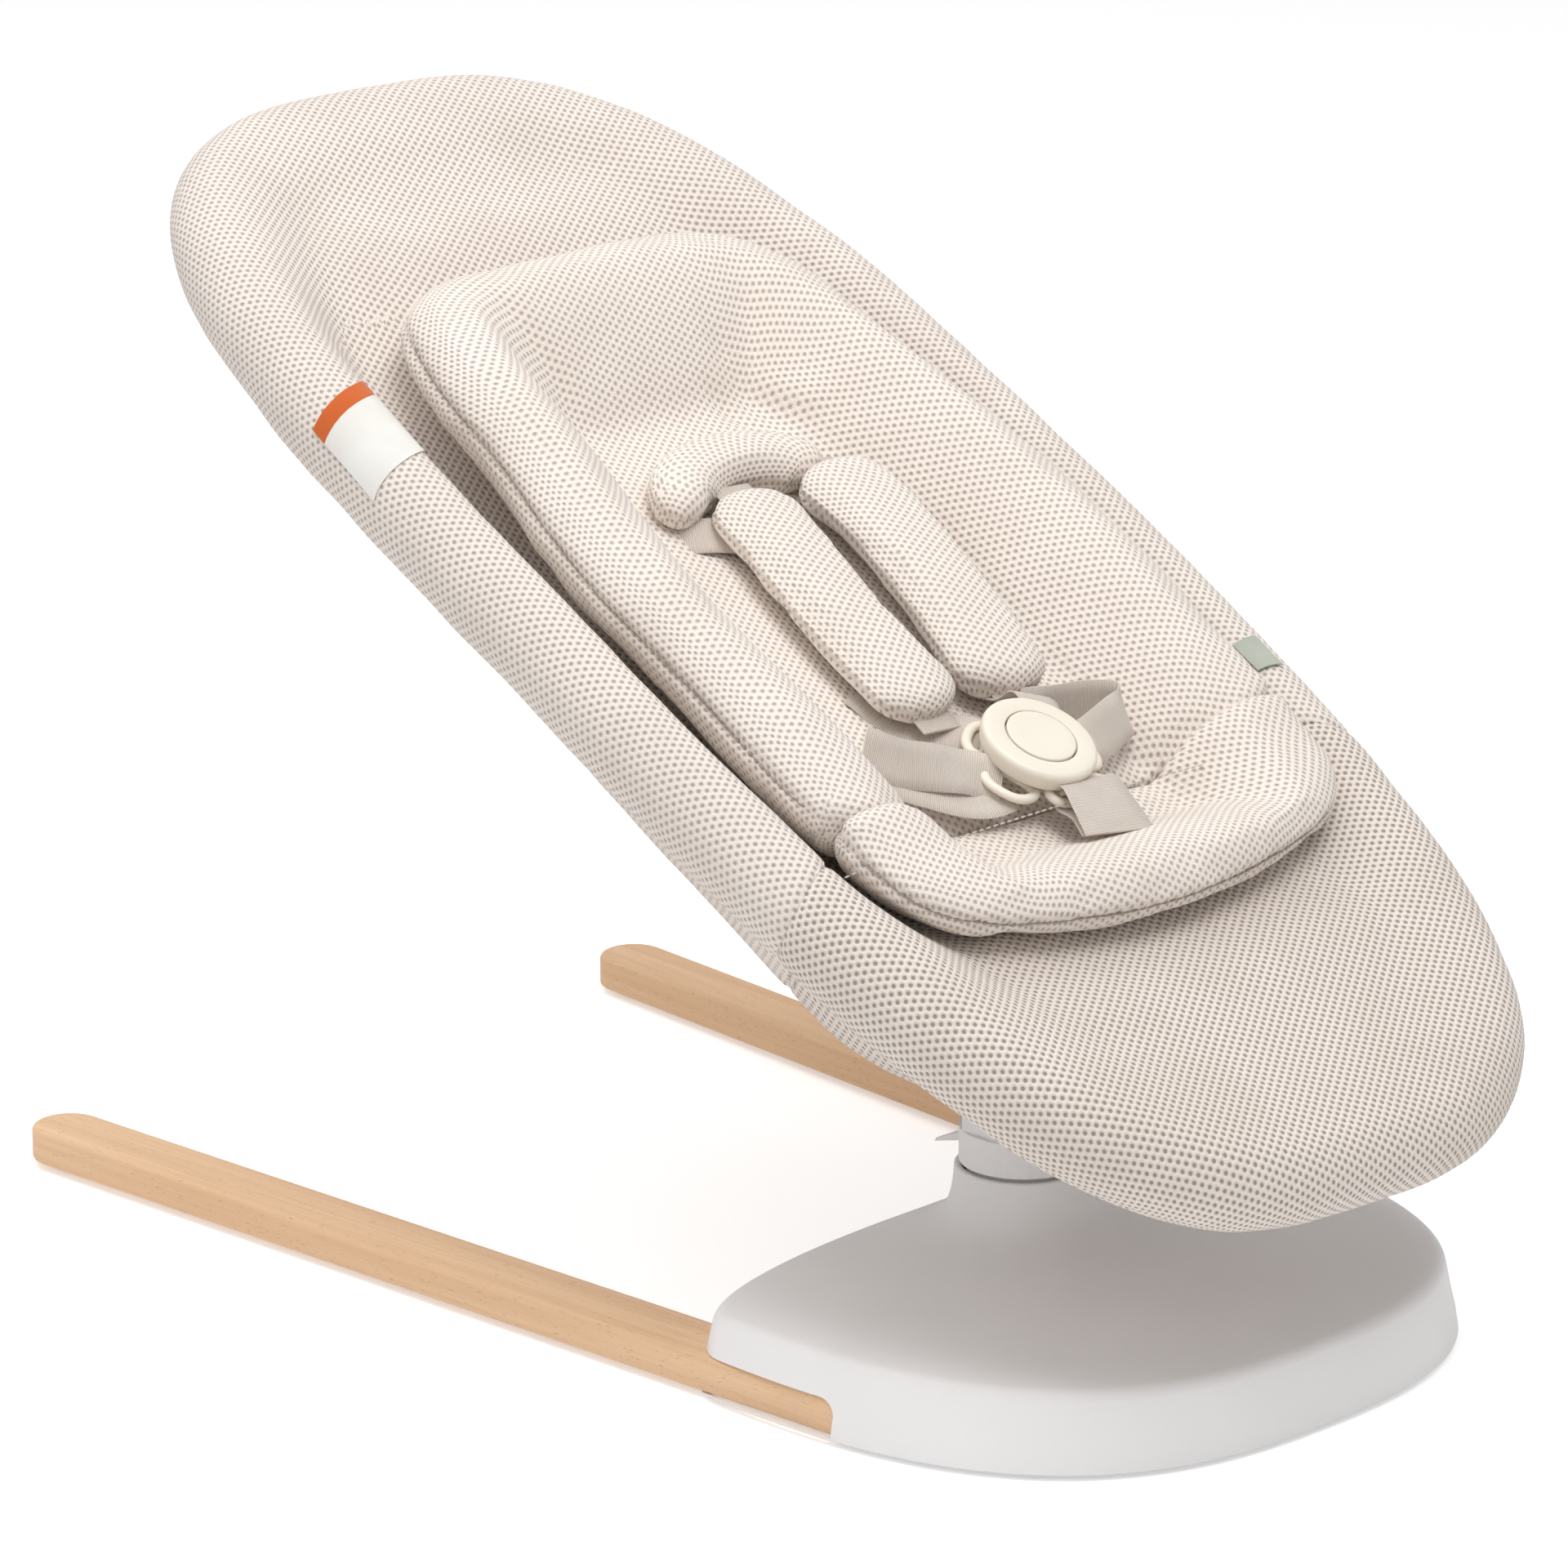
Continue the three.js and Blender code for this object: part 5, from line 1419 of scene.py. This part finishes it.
def leg_outline(grow):
    """Plan of a leg in its own frame, y along it, and how many points each side has."""
    half = LEG_HALF + grow
    arc = [(half * (1 - math.cos(a)), half * math.sin(a))
           for a in np.linspace(0.05, math.pi / 2, 22)]
    straight = [(half + s, half) for s in np.linspace(0, LEG_LENGTH + grow - LEG_HALF - 16, 40)[1:]]
    nose = [(LEG_LENGTH + grow - s + LEG_HALF, half) for s in
            np.concatenate([np.linspace(15.5, 1.6, 14), [1.0, 0.5, 0.0]])]
    stations = np.array(arc + straight + nose)
    stations[:, 0] -= half
    front = LEG_LENGTH + grow
    stations = stations[stations[:, 0] <= front + 1e-6]
    left = np.stack([-stations[:, 1], -stations[:, 0]], axis=1)
    right = np.stack([stations[:, 1], -stations[:, 0]], axis=1)[::-1]
    return np.concatenate([left, right]), len(stations)


def leg_mesh(name, side, grow=0.0, sweep=0.0):
    """A leg with rounded long edges. The housing's cutter is grown and swept sideways."""
    outline, stations = leg_outline(grow)
    front = LEG_LENGTH + grow
    run = np.roll(outline, -1, axis=0) - np.roll(outline, 1, axis=0)
    normal = np.stack([run[:, 1], -run[:, 0]], axis=1)
    normal /= np.maximum(np.linalg.norm(normal, axis=1, keepdims=True), 1e-9)
    middle = np.array([0.0, -front / 2])
    wrong = ((outline - middle) * normal).sum(1) < 0
    if wrong.mean() > 0.5:
        normal = -normal
    bottom, top = LEG_BOTTOM - grow, LEG_TOP + grow
    edge = LEG_EDGE + grow
    levels = [(1.2, 0.0), (0.5, 0.03), (0.0, 0.09)]
    for a in np.linspace(0, 90, 7):
        levels.append((edge * (1 - math.cos(math.radians(a))),
                       1 - (edge / (top - bottom)) * (1 - math.sin(math.radians(a)))))
    if grow:
        levels = [(0.0, 0.0), (0.0, 1.0)]
    rings = []
    for inset, level in levels:
        flat = outline - normal * inset
        ahead = np.clip(front + flat[:, 1], 0, LEG_NOSE + grow)
        nose = LEG_NOSE + grow
        ceiling = top - nose + np.sqrt(np.clip(nose ** 2 - (nose - ahead) ** 2, 0, None))
        z = bottom + level * (ceiling - bottom)
        rings.append(np.concatenate([flat, z[:, None]], axis=1))
    count = len(outline)
    points = np.concatenate(rings)
    faces = band_faces(len(rings), count)
    for start, flip in ((0, True), ((len(rings) - 1) * count, False)):
        for k in range(stations - 1):
            quad = (start + k, start + count - 1 - k, start + count - 2 - k, start + k + 1)
            faces.append(quad[::-1] if flip else quad)
    turn = -side * LEG_SPLAY
    c, s = math.cos(turn), math.sin(turn)
    x, y = points[:, 0] * c - points[:, 1] * s, points[:, 0] * s + points[:, 1] * c
    points = np.stack([x + side * LEG_REAR_X, y, points[:, 2]], axis=1)
    obj = mesh_object(name, base_to_world(points), faces)
    if sweep:
        bm = bmesh.new()
        bm.from_mesh(obj.data)
        for vert in list(bm.verts):
            bm.verts.new(vert.co + Vector((side * sweep * MM, 0, 0)))
        bmesh.ops.delete(bm, geom=list(bm.faces), context="FACES_ONLY")
        bmesh.ops.convex_hull(bm, input=list(bm.verts))
        loose = [v for v in bm.verts if not v.link_faces]
        bmesh.ops.delete(bm, geom=loose, context="VERTS")
        bm.to_mesh(obj.data)
        bm.free()
    face_outward(obj)
    return obj


make_housing()
for side, word in ((-1, "left"), (1, "right")):
    MATERIAL[f"wood_{word}"] = beech(f"beech_{word}", side * LEG_SPLAY)
    leg = leg_mesh(f"beech_leg_{word}", side)
    sharpen(leg, 40)
    enter(leg, f"wood_{word}", f"wood_leg_{word}", "base")


# ---------- floor and light ----------
FLOOR_GLOW, FLOOR_BOUNCE = 0.42, 0.08
SKY_LIGHT, SKY_SEEN = 0.44, 0.84
floor = mesh_object("floor", [(-30, -30, 0), (30, -30, 0), (30, 30, 0), (-30, 30, 0)], [(0, 1, 2, 3)])
floor.location.z = -0.0003
paper = Nodes("white_floor")
cloud = paper.noise(paper.object_vector(), 3.0)
paper.set(colour=paper.colours(cloud, "#fbfbfb", "#fdfdfd"), roughness=0.95, specular=0.1)
paper.shader.inputs["Emission Color"].default_value = (1, 1, 1, 1)
# The floor glows for the camera more than it lights the object, as a bright studio sweep does.
seen = paper.add("ShaderNodeLightPath").outputs["Is Camera Ray"]
share = paper.math("MULTIPLY", seen, FLOOR_GLOW - FLOOR_BOUNCE)
paper.link(paper.math("ADD", share, FLOOR_BOUNCE), paper.shader.inputs["Emission Strength"])
floor.data.materials.append(paper.material)


def area_light(name, place, target, size, power):
    light = bpy.data.lights.new(name, "AREA")
    light.shape = "SQUARE"
    light.size = size
    light.energy = power
    obj = bpy.data.objects.new(name, light)
    bpy.context.scene.collection.objects.link(obj)
    obj.location = place
    obj.rotation_euler = (Vector(target) - Vector(place)).to_track_quat("-Z", "Y").to_euler()


area_light("key", (-0.15, -0.9, 2.9), (0, 0, 0.25), 1.5, 42.0)
area_light("side", (-2.0, -0.8, 1.5), (0, 0, 0.1), 1.0, 3.0)
area_light("top", (-0.5, 1.1, 2.9), (0, 0, 0.2), 2.4, 34.0)
world = bpy.data.worlds.new("studio")
bpy.context.scene.world = world
world.use_nodes = True
sky = world.node_tree
sky.nodes["Background"].inputs["Color"].default_value = (1, 1, 1, 1)
# Seen directly, the studio is as bright as the far floor, so no horizon shows in low views.
strength = sky.nodes.new("ShaderNodeMapRange")
strength.inputs["To Min"].default_value = SKY_LIGHT
strength.inputs["To Max"].default_value = SKY_SEEN
sky.links.new(sky.nodes.new("ShaderNodeLightPath").outputs["Is Camera Ray"], strength.inputs["Value"])
sky.links.new(strength.outputs["Result"], sky.nodes["Background"].inputs["Strength"])
bpy.context.scene.view_settings.view_transform = "Standard"

# ---------- CAD pieces that keep their shape ----------
KEPT = {
    "housing": ["side_clamp_left", "side_clamp_right", "pivot_post", "recline_lever"],
    "hub": ["seat_hub"],
    "pan": ["base_pan"],
    "steel": ["steel_chassis", "bounce_spring_left", "bounce_spring_right"],
    "zinc": ["pan_screw_1", "pan_screw_2", "pan_screw_3", "pan_screw_4", "leg_bolt_left_1",
             "leg_bolt_left_2", "leg_bolt_right_1", "leg_bolt_right_2", "hub_screw_1",
             "hub_screw_2", "bounce_axle", "recline_axle", "lever_pin"],
    "aluminium": ["frame_tube", "yoke_tube"],
    "foam": ["foam_sleeve_head", "foam_sleeve_foot"],
    "rubber": ["base_pad_1", "base_pad_2", "base_pad_3", "leg_pad_left", "leg_pad_right"],
}
for material, names in KEPT.items():
    for name in names:
        dress(NODES[name], material)
        sharpen(NODES[name])
